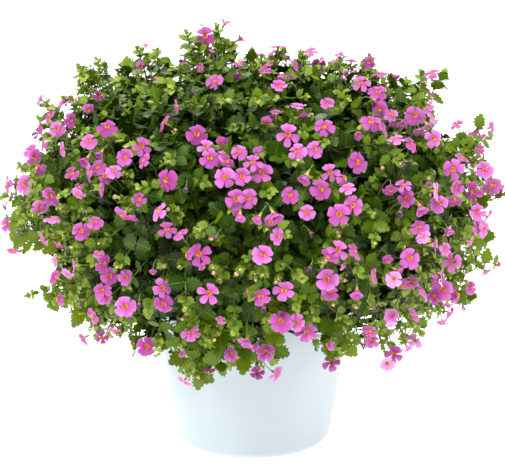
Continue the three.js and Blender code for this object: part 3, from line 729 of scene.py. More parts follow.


# The dark tangle inside: old twigs and dead leaves, dull brown and black-green, with painted shade:
# its near-black colour stands in for the deep shade between the shoots.
tangle_shade_material, tree = new_material("dead_inner_tangle")
place = add_node(tree, "ShaderNodeTexCoord").outputs["Object"]
mottle = noise_at(tree, place, 180, 4).outputs["Fac"]
give_skin(
    tree,
    {
        "Base Color": mixed(tree, mottle, "#0B0F06", "#26301A"),
        "Roughness": 1.0,
        "Specular IOR Level": 0.1,
    },
)

tangle_shape = bmesh.new()
for stem in stems:
    add_tangle(tangle_shape, stem)
bmesh.ops.recalc_face_normals(tangle_shape, faces=tangle_shape.faces)
tangle = new_object("inner_tangle", mesh_of(tangle_shape, "inner_tangle"))
tangle.data.materials.append(tangle_shade_material)
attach(tangle, "root")

# What grows on each stem: lines for its twigs, and points for its leaves, blooms and buds.
growth = [{"paths": [], "leaves": [], "stalks": [], "blooms": []} for _ in stems]
for stem, grown in zip(stems, growth):
    shares = [i / STEM_STEPS * STEM_REACH for i in range(STEM_STEPS + 1)]
    arch = [arch_at(stem["down"], stem["bearing"], share) for share in shares]
    sunk = arch[0] - Vector((0, 0, STEM_SUNK))
    arch = arch[:STEM_KEPT] + [point for point in arch[STEM_KEPT:] if is_in_crown(point)]
    grown["paths"].append({"points": [sunk, *arch], "radius": STEM_RADIUS / TWIG_FOOT, "age": STEM_AGE})


# Blooms
# Bacopa blooms are 18 to 20 mm across: five broad thin petals that open flat from a short orange
# funnel, in a green five-toothed calyx on a thin stalk. Old ones droop, fold and turn violet.

BLOOM_RADIUS = 8 * MM
PETAL_COUNT = 5  # lengths of a bloom's shape are shares of its radius, and angles are in radians
PETAL_THICK = 0.035
PETAL_FOOT = 0.2  # how far from the bloom's middle a petal begins
PETAL_TURN = 0.09  # how far petals differ from their usual turn and rise
PETAL_RISE = 0.14
PETAL_BEND = (-0.3, 0.1)
PETAL_DROOP = 0.15
PETAL_NOTCH = (-0.05, 0.03)
PETAL_TWIST = 0.4
LEAST_TWIST = 0.2
PETAL_REACH = (0.92, 1.06)
PETAL_BREADTH = (0.9, 1.1)
PETAL_RUFFLE = 0.16
PETAL_EDGE = [(0.2, 0.17), (0.38, 0.3), (0.58, 0.43), (0.78, 0.49), (0.93, 0.4), (1.0, 0.22)]
PETAL_LENGTHS = (1.08, 1.02, 0.86, 0.86, 1.02)
PETAL_SWING = (0, -0.04, 0.14, -0.14, 0.04)
THROAT = [(0, -0.3), (0.25, 0.02)]
THROAT_LONG = 1.25  # a throat is longer than wide,
THROAT_ENDS = -0.1  # down to this height
THROAT_SIDES = 8
CALYX_SIDES = 6
FUNNEL = [(0.2, -0.08), (0.13, -0.26), (0.085, -0.62), (0, -0.62)]
THROAT_ZONES = [0.0, 0.2]
BUD_ZONE = 1.1
PALE_BUD_ZONE = 1.2
FUNNEL_ZONE = 1.34
CALYX_ZONE = 1.65
SPENT_ZONE = 1.9
FRESH = (0.2, 1.0)
SPENT = (SPENT_ZONE, SPENT_ZONE)
CALYX_CUP = [(0, -0.85), (0.09, -0.79), (0.125, -0.58), (0, -0.52)]
SEPAL_LENGTH = 0.4
SEPAL_HEIGHT = -0.66
SEPAL_OUT = (0.1, 0.2)  # how far out its foot and its tip are
SEPAL_HALF = 0.06
SEPAL_THICK = 0.04
STAMEN_COUNT = 4
STAMEN_SIZE = 0.055
STAMEN_OUT = 0.075
STAMEN_HEIGHT = -0.02
STAMEN_ZONE = 0.14
BUD_SEAT = -0.72  # where a bud sits on its calyx
RIM_ANGLE = 1.3  # an edge whose faces turn by more than this, in radians, is a rim


def bloom_mesh(name, lift, cup, width, length, ruffle, petal_zones, seed):
    """A bloom of unit radius that faces +Z, with its upper petals towards +Y, as closed shells."""
    chance = random.Random(seed)
    points = []
    zones = []
    flats = []
    faces = []

    def add(place, zone, across=0.5, along=0.0):
        points.append(place)
        zones.append(zone)
        flats.append((across, along))
        return len(points) - 1

    def add_turned(profile, profile_zones, sides):
        rings = []
        for (radius, height), zone in zip(profile, profile_zones):
            count = sides if radius > 0 else 1
            turns = [2 * math.pi * i / count for i in range(count)]
            long = THROAT_LONG if height > THROAT_ENDS else 1
            spots = [(radius * math.cos(t), radius * math.sin(t) * long, height) for t in turns]
            rings.append([add(spot, zone) for spot in spots])
        faces.extend(ring_faces(rings, sides))

    def add_wedge(corners, zone):
        a, b, c, d = [add(tuple(corner), zone) for corner in corners]
        faces.extend([[a, b, c], [a, c, d], [a, d, b], [b, d, c]])

    for number, (reach, swing) in enumerate(zip(PETAL_LENGTHS, PETAL_SWING)):
        turn = -math.pi / 2 + number * 2 * math.pi / PETAL_COUNT + swing
        turn += chance.uniform(-PETAL_TURN, PETAL_TURN)
        ahead = Vector((math.cos(turn), math.sin(turn), 0))
        side = Vector((-math.sin(turn), math.cos(turn), 0))
        rise = lift + chance.uniform(-PETAL_RISE, PETAL_RISE)
        bend = chance.uniform(*PETAL_BEND) - PETAL_DROOP
        notch = chance.uniform(*PETAL_NOTCH)
        twist = chance.uniform(-PETAL_TWIST, PETAL_TWIST) * (LEAST_TWIST + ruffle)
        reach *= chance.uniform(*PETAL_REACH)
        broad = width * chance.uniform(*PETAL_BREADTH)
        uppers = []
        lowers = []
        for row, (share, half) in enumerate(PETAL_EDGE):
            run = (share - PETAL_FOOT) * reach * length
            upper = []
            lower = []
            for way in (-1, 0, 1):
                angle = rise + bend * run
                height = run * math.sin(angle) + cup * way * way * half + twist * way * half
                height += ruffle * chance.uniform(-PETAL_RUFFLE, PETAL_RUFFLE) * share
                tip = notch if way == 0 and row == len(PETAL_EDGE) - 1 else 0
                spot = ahead * (PETAL_FOOT + (run + tip) * math.cos(angle)) + side * way * half * broad
                zone = petal_zones[0] + (petal_zones[1] - petal_zones[0]) * share
                flat = (0.5 + way * half, share)
                is_rim = way != 0 or row in (0, len(PETAL_EDGE) - 1)
                if is_rim:
                    both = add((spot.x, spot.y, height), zone, *flat)
                    upper.append(both)
                    lower.append(both)
                else:
                    upper.append(add((spot.x, spot.y, height + PETAL_THICK / 2), zone, *flat))
                    lower.append(add((spot.x, spot.y, height - PETAL_THICK / 2), zone, *flat))
            uppers.append(upper)
            lowers.append(lower)
        for row in range(len(PETAL_EDGE) - 1):
            for column in (0, 1):
                for sheet, is_upper in ((uppers, True), (lowers, False)):
                    face = [
                        sheet[row][column],
                        sheet[row + 1][column],
                        sheet[row + 1][column + 1],
                        sheet[row][column + 1],
                    ]
                    faces.append(face if is_upper else face[::-1])

    tube_zone = SPENT_ZONE if petal_zones is SPENT else FUNNEL_ZONE
    add_turned(THROAT + FUNNEL, THROAT_ZONES + [tube_zone] * len(FUNNEL), THROAT_SIDES)
    add_turned(CALYX_CUP[::-1], [CALYX_ZONE] * len(CALYX_CUP), CALYX_SIDES)
    for number in range(PETAL_COUNT):
        turn = (number + 0.5) * 2 * math.pi / PETAL_COUNT
        ray = Vector((math.cos(turn), math.sin(turn), 0))
        side = Vector((-math.sin(turn), math.cos(turn), 0)) * SEPAL_HALF
        base = ray * SEPAL_OUT[0] + Vector((0, 0, SEPAL_HEIGHT))
        tip = ray * SEPAL_OUT[1] + Vector((0, 0, SEPAL_HEIGHT + SEPAL_LENGTH))
        add_wedge((base - side, base + side, base + ray * SEPAL_THICK, tip), CALYX_ZONE)
    for number in range(STAMEN_COUNT):
        turn = (number + 0.3) * 2 * math.pi / STAMEN_COUNT
        middle = Vector((math.cos(turn) * STAMEN_OUT, math.sin(turn) * STAMEN_OUT, STAMEN_HEIGHT))
        ways = [Vector((1, 1, 1)), Vector((1, -1, -1)), Vector((-1, 1, -1)), Vector((-1, -1, 1))]
        add_wedge([middle + way * STAMEN_SIZE / 2 for way in ways], STAMEN_ZONE)
    return finished_bloom_part(name, points, faces, zones, flats)


def keep_rims_sharp(mesh):
    """Shades a thin sheet's two sides apart, so that it looks flat and not like a cushion."""
    shape = bmesh.new()
    shape.from_mesh(mesh)
    for face in shape.faces:
        face.smooth = True
    for edge in shape.edges:
        edge.smooth = edge.calc_face_angle(0) < RIM_ANGLE
    shape.to_mesh(mesh)
    shape.free()


def mesh_with_flats(name, points, faces, flats):
    """A mesh that knows where each of its points lies on the flat sheet that is coloured."""
    mesh = bpy.data.meshes.new(name)
    mesh.from_pydata(points, [], faces)
    layer = mesh.uv_layers.new(name="UVMap")
    for loop in mesh.loops:
        layer.data[loop.index].uv = flats[loop.vertex_index]
    return mesh


def finished_bloom_part(name, points, faces, zones, flats):
    """A bloom's mesh with its zones, which say where each colour lies, and all faces turned outwards."""
    mesh = mesh_with_flats(name, points, faces, flats)
    mesh.attributes.new("zone", "FLOAT", "POINT").data.foreach_set("value", zones)
    shape = bmesh.new()
    shape.from_mesh(mesh)
    bmesh.ops.recalc_face_normals(shape, faces=shape.faces)
    shape.to_mesh(mesh)
    shape.free()
    keep_rims_sharp(mesh)
    return mesh


def bud_mesh(name, ball, zone, sides):
    """A closed round bud on its calyx, of a bloom's scale, that points along +Z."""
    profile = [
        (0, -0.85),
        (0.08, -0.8),
        (ball * 0.8, BUD_SEAT + ball * 0.4),
        (ball, BUD_SEAT + ball),
        (ball * 0.7, BUD_SEAT + ball * 1.8),
        (0, BUD_SEAT + ball * 2.3),
    ]
    profile_zones = [CALYX_ZONE, CALYX_ZONE, CALYX_ZONE, CALYX_ZONE - 0.1, zone, zone]
    points = []
    zones = []
    rings = []
    for (radius, height), value in zip(profile, profile_zones):
        count = sides if radius > 0 else 1
        rings.append(list(range(len(points), len(points) + count)))
        turns = [2 * math.pi * i / count for i in range(count)]
        points += [(radius * math.cos(turn), radius * math.sin(turn), height) for turn in turns]
        zones += [value] * count
    return finished_bloom_part(name, points, ring_faces(rings, sides), zones, [(0.5, 0.5)] * len(points))


bloom_shapes = bpy.data.collections.new("bloom_shapes")
BLOOM_KINDS = [
    bloom_mesh("bloom_00_open", -0.06, 0.05, 0.94, 1.0, 0.08, FRESH, 1),
    bloom_mesh("bloom_01_open", 0.1, -0.08, 0.9, 1.0, 0.12, FRESH, 2),
    bloom_mesh("bloom_02_open", -0.2, 0.1, 0.97, 1.0, 0.12, FRESH, 3),
    bloom_mesh("bloom_03_cupped", 0.42, 0.1, 0.94, 0.98, 0.1, FRESH, 4),
    bloom_mesh("bloom_04_narrow", 0.0, 0.2, 0.72, 1.02, 0.12, FRESH, 5),
    bloom_mesh("bloom_05_drooping", -0.75, -0.25, 0.82, 0.95, 0.5, FRESH, 6),
    bloom_mesh("bloom_06_crumpled", 0.35, -0.3, 0.8, 0.85, 0.8, FRESH, 7),
    bloom_mesh("bloom_07_folded", 1.15, 0.15, 0.9, 0.95, 0.3, FRESH, 8),
    bloom_mesh("bloom_08_spent", 1.25, 0.2, 0.4, 0.55, 0.7, SPENT, 9),
    bud_mesh("bloom_09_bud", 0.18, BUD_ZONE, 7),
    bud_mesh("bloom_10_small_bud", 0.15, PALE_BUD_ZONE, 6),
]
for mesh in BLOOM_KINDS:
    bloom_shapes.objects.link(bpy.data.objects.new(mesh.name, mesh))
OPEN_KINDS = (0, 1, 2, 3, 0, 2, 4)
DROOPING = 5
CRUMPLED = 6
FOLDED = 7
SPENT_KIND = 8
BUD = 9
SMALL_BUD = 10

# Petal: thin soft tissue with a faint velvet sheen. It is deep magenta round the throat and paler to
# its tip, with fine darker veins; the funnel is orange-yellow, the calyx green, a spent bloom violet.
def stored(tree, name):
    """A number that the mesh holds for each of its points."""
    return add_node(tree, "ShaderNodeAttribute", {"attribute_name": name}).outputs["Fac"]


def mapped(tree, value, before, after, smooth=False):
    """A number moved from one range to another, and kept within it."""
    settings = {"interpolation_type": "SMOOTHSTEP" if smooth else "LINEAR"}
    inputs = {
        "Value": value,
        "From Min": before[0],
        "From Max": before[1],
        "To Min": after[0],
        "To Max": after[1],
    }
    return add_node(tree, "ShaderNodeMapRange", settings, inputs).outputs[0]


def colour_ramp(tree, factor, stops):
    """Colours along a scale. The first stop is at 0 and the last one at 1."""
    ramp = add_node(tree, "ShaderNodeValToRGB", inputs={"Fac": factor})
    elements = ramp.color_ramp.elements
    elements[0].color = linear(stops[0][1])
    elements[1].color = linear(stops[-1][1])
    for position, value in stops[1:-1]:
        elements.new(position).color = linear(value)
    return ramp.outputs["Color"]


# The first stop, dark brown in the middle of the throat, is painted shade in the opening of the tube.
PETAL_RAMP = [
    (0, "#6A2C06"),
    (0.03, "#C8701A"),
    (0.075, "#EDA422"),
    (0.1, "#F2B436"),
    (0.12, "#B02C80"),
    (0.19, "#B93A8E"),
    (0.25, "#CF56B0"),
    (0.36, "#D872C8"),
    (0.5, "#E187D8"),
    (0.55, "#DE96BE"),
    (0.6, "#DAD890"),
    (0.66, "#EFC35E"),
    (0.71, "#D99A30"),
    (0.8, "#7E9A3A"),
    (0.88, "#7E9A3A"),
    (0.92, "#54305E"),
    (1, "#3A2444"),
]
PETAL_VEINS = 60  # how close the veins stand that fan out over a petal
petal_material, tree = new_material("soft_petal_tissue")
zone = stored(tree, "zone")
tone = stored(tree, "tone")
place = add_node(tree, "ShaderNodeUVMap", {"uv_map": "UVMap"}).outputs["UV"]
split = add_node(tree, "ShaderNodeSeparateXYZ", inputs={0: place}).outputs
scale = colour_ramp(tree, calculated(tree, "MULTIPLY", zone, 0.5), PETAL_RAMP)
past_throat = mapped(tree, zone, (0.16, 0.24), (0.0, 1.0))
before_calyx = mapped(tree, zone, (1.02, 1.1), (1.0, 0.0))
is_petal = calculated(tree, "MULTIPLY", past_throat, before_calyx)
tinted = mixed(tree, is_petal, scale, mixed(tree, tone, "#BC66AE", "#FFFFFF"), "MULTIPLY")
paleness = calculated(tree, "SUBTRACT", tone, 1.0, clamped=True)
faded = mixed(tree, calculated(tree, "MULTIPLY", paleness, is_petal), tinted, "#F4CDF4")
fan = calculated(tree, "SUBTRACT", split["X"], 0.5)
fan = calculated(tree, "DIVIDE", fan, split["Y"])
waves = calculated(tree, "COSINE", calculated(tree, "MULTIPLY", fan, PETAL_VEINS))
veins = calculated(tree, "MULTIPLY", mapped(tree, waves, (0.6, 1.0), (0.0, 0.22)), is_petal)
give_skin(
    tree,
    {
        "Base Color": mixed(tree, veins, faded, "#B0409A"),
        "Roughness": 0.6,
        "Specular IOR Level": 0.3,
        "Sheen Weight": 0.15,
        "Sheen Roughness": 0.5,
        "Subsurface Weight": 0.3,
        "Subsurface Radius": (1.0, 0.45, 0.8),
        "Subsurface Scale": 0.0012,
        "Normal": relief_of(tree, veins, 0.3, 0.3 * MM, sunken=True),
    },
)

# Where the photograph shows blooms, in its own pixels. An open bloom is given by the middle of its
# throat, the clock hour towards which it is turned away from the camera, how many degrees, and its
# size as a share of the usual one. A side-on bloom is turned by a right angle or a little less.
OPEN_BLOOMS = [
    (57, 129, 12, 6, 0.86), (71, 120, 3, 35, 0.86), (107, 127, 12, 38, 1.05), (89, 141, 12, 28, 0.95),
    (142, 146, 12, 8, 0.96), (31, 151, 11, 28, 0.85), (35, 157, 4, 25, 0.9), (24, 184, 9, 28, 1.08),
    (40, 208, 5, 32, 0.84), (8, 224, 12, 12, 0.86), (104, 264, 4, 48, 0.95), (110, 276, 3, 28, 1.0),
    (105, 295, 3, 38, 0.98), (125, 306, 1, 15, 1.05), (81, 231, 1, 18, 0.96), (126, 157, 10, 25, 0.95),
    (166, 180, 9, 30, 1.1), (199, 254, 12, 12, 1.12), (163, 288, 3, 30, 0.98), (147, 346, 12, 8, 1.03),
    (209, 293, 1, 22, 1.05), (231, 354, 1, 20, 0.76), (205, 36, 12, 6, 1.1), (197, 134, 1, 18, 1.05),
    (206, 147, 12, 22, 0.9), (210, 158, 12, 34, 1.1), (225, 177, 10, 22, 1.08), (242, 176, 12, 15, 1.0),
    (236, 199, 12, 5, 1.02), (249, 198, 3, 28, 0.95), (288, 134, 12, 8, 1.1), (239, 152, 12, 30, 0.9),
    (253, 162, 12, 35, 1.0), (262, 172, 12, 28, 1.08), (290, 195, 12, 15, 0.9), (307, 212, 12, 12, 0.84),
    (321, 189, 2, 24, 1.15), (339, 214, 10, 12, 1.2), (353, 205, 1, 10, 1.0), (330, 172, 12, 15, 0.96),
    (358, 162, 3, 36, 1.1), (348, 188, 12, 48, 0.8), (324, 127, 12, 36, 1.0), (297, 151, 11, 28, 1.02),
    (315, 149, 1, 15, 0.95), (361, 83, 12, 30, 0.98), (371, 122, 12, 42, 1.12), (415, 115, 1, 16, 1.05),
    (434, 138, 3, 32, 0.98), (453, 169, 12, 8, 1.05), (456, 187, 3, 30, 0.9), (485, 169, 1, 28, 1.0),
    (473, 191, 9, 42, 1.1), (493, 185, 12, 50, 1.15), (477, 212, 1, 20, 0.9), (407, 198, 12, 10, 0.92),
    (423, 236, 11, 48, 0.86), (410, 258, 1, 10, 1.12), (394, 279, 12, 12, 0.96), (446, 249, 3, 38, 0.72),
    (453, 262, 9, 34, 1.0), (443, 289, 12, 14, 1.1), (435, 296, 10, 20, 0.86), (472, 288, 3, 44, 0.8),
    (439, 203, 11, 26, 0.98), (419, 227, 12, 40, 1.0), (338, 250, 1, 18, 1.08), (327, 279, 12, 14, 1.18),
    (330, 292, 6, 30, 0.96), (284, 290, 12, 28, 1.0), (278, 236, 3, 36, 0.9), (263, 255, 12, 28, 1.1),
    (281, 321, 11, 14, 1.1), (297, 322, 3, 30, 0.9), (307, 332, 12, 45, 1.12), (331, 362, 11, 34, 1.0),
    (266, 352, 12, 16, 0.9), (257, 373, 12, 34, 0.82), (372, 341, 12, 38, 0.86), (394, 354, 12, 18, 0.98),
    (387, 363, 6, 22, 0.8), (415, 340, 1, 44, 0.95), (392, 316, 12, 22, 0.82), (261, 296, 12, 32, 0.98),
    (191, 333, 12, 45, 0.95), (164, 304, 6, 22, 0.95), (51, 196, 2, 44, 0.95), (98, 167, 11, 30, 0.9),
    (114, 171, 12, 30, 0.8), (95, 222, 12, 38, 0.86), (126, 277, 3, 30, 0.85), (102, 290, 12, 35, 0.85),
    (215, 81, 11, 44, 1.0), (279, 86, 12, 48, 0.92), (310, 51, 12, 56, 0.86), (328, 104, 12, 48, 0.86),
    (378, 92, 12, 36, 1.05), (380, 109, 9, 36, 0.9), (391, 114, 12, 32, 0.8), (369, 62, 9, 36, 0.72),
    (403, 185, 12, 42, 0.85), (457, 124, 11, 50, 0.7), (167, 229, 12, 30, 0.85), (144, 160, 10, 50, 0.8),
]
SIDE_BLOOMS = [
    (41, 100, 10, 76, 0.76), (63, 100, 11, 66, 0.9), (75, 99, 11, 72, 0.7), (49, 115, 10, 56, 0.86),
    (42, 128, 9, 62, 0.7), (61, 149, 9, 66, 0.84), (43, 144, 9, 70, 0.7), (163, 122, 10, 74, 0.98),
    (175, 106, 9, 76, 0.8), (225, 23, 1, 72, 0.9), (240, 39, 2, 80, 0.9), (146, 46, 12, 70, 0.5),
    (278, 46, 12, 80, 1.02), (286, 56, 1, 70, 0.74), (272, 54, 11, 70, 0.55), (291, 77, 1, 72, 0.6),
    (340, 54, 12, 70, 0.6), (335, 61, 11, 70, 0.5), (351, 60, 12, 72, 0.74), (355, 70, 11, 84, 0.76),
    (379, 73, 12, 74, 0.86), (432, 73, 12, 64, 1.12), (384, 128, 2, 66, 0.9), (396, 139, 12, 60, 0.9),
    (412, 144, 2, 62, 0.9), (428, 107, 10, 70, 0.85), (433, 118, 2, 72, 0.8), (427, 125, 5, 66, 0.8),
    (493, 128, 3, 68, 0.86), (477, 130, 11, 70, 0.8), (482, 139, 5, 70, 0.7), (462, 157, 1, 64, 0.8),
    (437, 191, 3, 72, 0.98), (434, 245, 3, 82, 1.1), (448, 231, 4, 68, 0.7), (375, 276, 3, 68, 0.86),
    (441, 273, 3, 72, 0.76), (424, 291, 2, 80, 1.12), (478, 228, 3, 60, 0.84), (485, 229, 3, 54, 0.98),
    (469, 242, 4, 68, 0.6), (451, 314, 4, 70, 0.72), (413, 315, 8, 68, 0.84), (442, 323, 6, 62, 0.6),
    (408, 349, 5, 66, 0.7), (277, 374, 4, 64, 0.96), (246, 341, 7, 60, 0.86), (255, 346, 10, 60, 0.6),
    (84, 338, 8, 68, 0.76), (113, 331, 6, 66, 0.76), (54, 261, 9, 70, 0.86), (56, 277, 10, 56, 0.86),
    (75, 265, 9, 80, 0.76), (67, 274, 7, 62, 0.74), (7, 184, 9, 68, 0.9), (52, 219, 12, 66, 0.9),
    (42, 240, 8, 66, 0.8), (14, 252, 6, 74, 0.86), (88, 172, 9, 66, 0.96), (78, 194, 7, 62, 0.8),
    (123, 216, 7, 66, 1.2), (159, 211, 10, 62, 0.96), (180, 233, 11, 62, 0.86), (225, 157, 2, 66, 0.9),
    (184, 60, 10, 72, 0.8), (213, 51, 1, 74, 0.6), (211, 56, 4, 74, 0.6), (298, 107, 12, 70, 0.9),
    (276, 113, 12, 74, 0.7), (328, 257, 1, 60, 1.12), (355, 251, 2, 60, 0.9), (344, 267, 4, 70, 0.5),
    (391, 191, 6, 60, 0.9), (487, 273, 5, 66, 0.6), (184, 382, 7, 70, 0.8), (391, 325, 6, 60, 0.6),
    (268, 64, 11, 66, 0.76), (296, 65, 2, 60, 0.66), (321, 59, 1, 70, 0.5), (376, 101, 4, 66, 0.7),
    (92, 316, 8, 56, 0.9), (103, 190, 3, 80, 0.8), (264, 72, 12, 66, 0.8), (448, 304, 6, 60, 0.6),
]
WITHERED_BLOOMS = [
    (88, 110, 6, 25, 0.85), (72, 173, 12, 20, 0.85), (37, 167, 10, 45, 0.95), (98, 96, 6, 30, 0.75),
    (141, 67, 6, 30, 0.75), (105, 176, 12, 20, 0.85), (139, 199, 6, 20, 0.9), (200, 67, 9, 40, 0.6),
    (318, 65, 6, 30, 0.95), (345, 178, 2, 45, 0.9), (271, 222, 6, 20, 0.9), (267, 123, 6, 40, 0.8),
    (222, 144, 6, 40, 0.85), (227, 161, 2, 45, 0.9), (369, 331, 1, 45, 0.9), (411, 282, 12, 40, 0.95),
    (404, 286, 6, 30, 0.8), (99, 254, 12, 50, 0.7), (102, 337, 12, 20, 0.8), (209, 370, 12, 60, 0.7),
    (221, 320, 1, 50, 0.6), (458, 296, 3, 40, 0.98), (480, 149, 12, 20, 0.6), (79, 187, 12, 50, 0.6),
    (58, 245, 7, 60, 0.6), (57, 300, 9, 60, 0.85), (327, 345, 9, 60, 0.8), (282, 76, 12, 60, 0.6),
    (304, 118, 6, 50, 0.6), (431, 96, 2, 60, 0.6), (419, 132, 6, 50, 0.7), (406, 124, 6, 50, 0.6),
    (429, 186, 6, 50, 0.5), (394, 124, 6, 50, 0.7), (454, 201, 6, 40, 0.84), (157, 78, 12, 50, 0.6),
    (273, 118, 6, 50, 0.6), (240, 64, 12, 60, 0.7), (237, 76, 6, 50, 0.6), (499, 262, 1, 60, 0.6),
    (435, 281, 6, 40, 0.5), (356, 134, 10, 50, 0.7), (402, 125, 6, 40, 0.6), (204, 268, 4, 60, 0.6),
    (186, 255, 9, 60, 0.7), (153, 274, 6, 60, 0.6), (237, 214, 6, 30, 0.7), (388, 262, 6, 40, 0.8),
]
FOLDED_BLOOMS = [
    (87, 159, 7, 62, 0.9), (101, 153, 7, 62, 0.72), (240, 215, 6, 66, 0.85), (274, 214, 5, 60, 1.05),
    (259, 217, 7, 66, 0.8), (306, 176, 7, 66, 0.95), (420, 207, 5, 66, 1.05), (396, 79, 12, 66, 0.66),
    (345, 71, 5, 66, 0.6), (260, 153, 11, 66, 0.8), (185, 355, 10, 60, 0.6), (357, 291, 6, 66, 0.9),
    (396, 270, 4, 70, 0.8), (449, 230, 5, 70, 0.66), (247, 341, 6, 70, 0.8), (435, 274, 6, 66, 0.5),
]
SPENT_BLOOMS = [
    (122, 78), (155, 79), (42, 192), (25, 204), (4, 207), (21, 232), (136, 220), (193, 93), (80, 303),
    (71, 311), (310, 268), (311, 233), (400, 212), (404, 165), (186, 189), (190, 264), (179, 297),
    (248, 295), (264, 308), (362, 345), (131, 317), (139, 304), (463, 307), (466, 271), (301, 66),
    (121, 106), (84, 212), (216, 237), (374, 308), (459, 162),
]
BUDS = [
    (173, 130, 1.0), (205, 98, 1.1), (206, 104, 0.9), (217, 100, 0.9), (286, 105, 0.9), (258, 97, 0.9),
    (310, 113, 1.1), (383, 145, 1.0), (385, 166, 1.2), (431, 177, 1.1), (429, 192, 1.0), (118, 196, 1.3),
    (172, 207, 1.2), (197, 229, 1.0), (215, 236, 1.5), (160, 264, 1.4), (240, 271, 1.4), (254, 276, 1.3),
    (279, 280, 1.1), (248, 294, 1.0), (324, 263, 1.0), (345, 260, 1.4), (339, 232, 1.3), (342, 280, 1.0),
    (98, 172, 1.1), (122, 171, 0.9), (56, 206, 0.8), (61, 206, 0.8), (63, 299, 0.9), (133, 353, 1.0),
    (196, 373, 1.1), (216, 337, 1.0), (95, 325, 1.0), (102, 59, 0.8), (88, 64, 0.8), (80, 71, 0.9),
    (76, 79, 0.8), (119, 62, 0.7), (131, 57, 0.8), (464, 176, 0.8), (430, 239, 0.9), (360, 307, 1.2),
    (336, 303, 1.2), (212, 269, 1.1), (104, 138, 0.8), (435, 170, 0.8), (186, 319, 0.9), (115, 322, 0.7),
]
BLOOM_LIFT = 15 * MM  # how far over the mound a bloom stands
BLOOM_LIFT_SPREAD = 3 * MM
BUD_LIFT = 9 * MM
FADED_FROM = 382  # right of this some of the open blooms have begun to fade, and below this all
FADED_BELOW = 328
FADED_SHARE = 0.4
FADED_TONE = (0.25, 0.6)  # how much paler they are
CARRIED_FROM = 24 * MM  # a bloom that stands clearer of the mound than this has a shoot beside it
SHOOT_BEHIND = 7 * MM
PULL_SHARE = 0.6  # how far behind its bloom a stalk bends, as a share of its depth,
SHORTEST_PULL = 3 * MM  # but not less or more than these
LONGEST_PULL = 16 * MM
STALK_RADIUS = 0.5 * MM
STALK_STEPS = 5
STALK_SINK = 9 * MM
STALK_AGE = 0.1
BLOOM_NECK = 0.82  # how far behind its petals a bloom's calyx ends
BLOOM_ROLL = 0.5  # how far blooms are turned about their own axis, in radians
NECK_LENGTH = 2 * MM
SMALL_REACH = 0.3  # how much of the width of an open one is kept clear before a bud or a spent bloom
HIDDEN_BLOOMS = 620  # places over the whole mound, of which those that face the back are used
FLAT_TOP = 0.6  # where the mound faces up this much, one place in three is used
FLAT_TOP_EACH = 3
FACES_CAMERA = -0.02
LEAST_RISE = -0.35  # none hang from the underside


def turn_of(heading, side, normal):
    return tuple(Matrix((heading, side, normal)).transposed().to_euler())


def curve_points(start, pull, end, steps):
    """Points along a curve that leaves `start` towards `pull` and arrives at `end`."""
    points = []
    for step in range(steps + 1):
        t = step / steps
        points.append(start * (1 - t) ** 2 + pull * 2 * t * (1 - t) + end * t**2)
    return points


blooms = []


def add_bloom(place, facing, size, kind, tone, sight):
    """Notes a bloom, and the stalk that brings it out of the mound."""
    guide = Vector((0, 0, 1)) if abs(facing.z) < 0.95 else -camera_back
    across = guide.cross(facing).normalized()
    across = Matrix.Rotation(draw.gauss(0, BLOOM_ROLL), 3, facing) @ across
    upper = facing.cross(across)
    scale = BLOOM_RADIUS * size
    base = place - facing * scale * BLOOM_NECK
    outward = outward_near(base)
    level = mound_level(base)
    shoot_end = base - outward * SHOOT_BEHIND - facing * NECK_LENGTH
    depth = level + STALK_SINK
    foot = base - outward * depth - facing * NECK_LENGTH
    pull = base - facing * min(max(depth * PULL_SHARE, SHORTEST_PULL), LONGEST_PULL)
    grown = growth[nearest_stem(foot)]
    grown["stalks"].append(
        {"points": curve_points(foot, pull, base, STALK_STEPS), "radius": STALK_RADIUS, "age": STALK_AGE}
    )
    grown["blooms"].append(
        {"place": place, "turn": turn_of(across, upper, facing), "size": scale, "age": 0, "tone": tone,
         "kind": kind}
    )
    reach = scale * (SMALL_REACH if kind in (BUD, SPENT_KIND) else 1)
    blooms.append({"place": place, "shoot_end": shoot_end, "level": level, "sight": sight, "reach": reach})


def turned_from_camera(clock, degrees):
    """The direction that faces the camera, turned away from it towards an hour of the clock."""
    hour = clock / 12 * 2 * math.pi
    tilt = math.radians(degrees)
    aside = camera_right * math.sin(hour) + camera_up * math.cos(hour)
    return (camera_back * math.cos(tilt) + aside * math.sin(tilt)).normalized()


# Each list with the shapes that its blooms may have, the range of their tone, 0 being deepest, and
# whether some of them fade.
SEEN_BLOOMS = [
    (OPEN_BLOOMS, OPEN_KINDS, 0.1, 0.95, True),
    (SIDE_BLOOMS, (0, 1, 2, 3), 0, 0.95, True),
    (WITHERED_BLOOMS, (DROOPING, CRUMPLED), 0.05, 0.45, False),
    (FOLDED_BLOOMS, (FOLDED,), 0.2, 0.7, False),
]
for listed, kinds, deepest, palest, some_fade in SEEN_BLOOMS:
    for x, y, clock, degrees, size in listed:
        place = seen_at(x, y, BLOOM_LIFT + draw.uniform(-1, 1) * BLOOM_LIFT_SPREAD)
        facing = turned_from_camera(clock, degrees)
        tone = draw.uniform(deepest, palest)
        if some_fade and x > FADED_FROM and (y > FADED_BELOW or draw.random() < FADED_SHARE):
            tone += draw.uniform(*FADED_TONE)
        add_bloom(place, facing, size, draw.choice(kinds), tone, camera_back)
for x, y in SPENT_BLOOMS:
    facing = turned_from_camera(draw.uniform(4, 8), 60)
    add_bloom(seen_at(x, y, BUD_LIFT), facing, draw.uniform(0.5, 0.8), SPENT_KIND, 1, camera_back)
for x, y, size in BUDS:
    facing = turned_from_camera(draw.uniform(-3, 3), draw.uniform(20, 50))
    add_bloom(seen_at(x, y, BUD_LIFT), facing, size, BUD, 1, camera_back)
SEEN_COUNT = len(blooms)

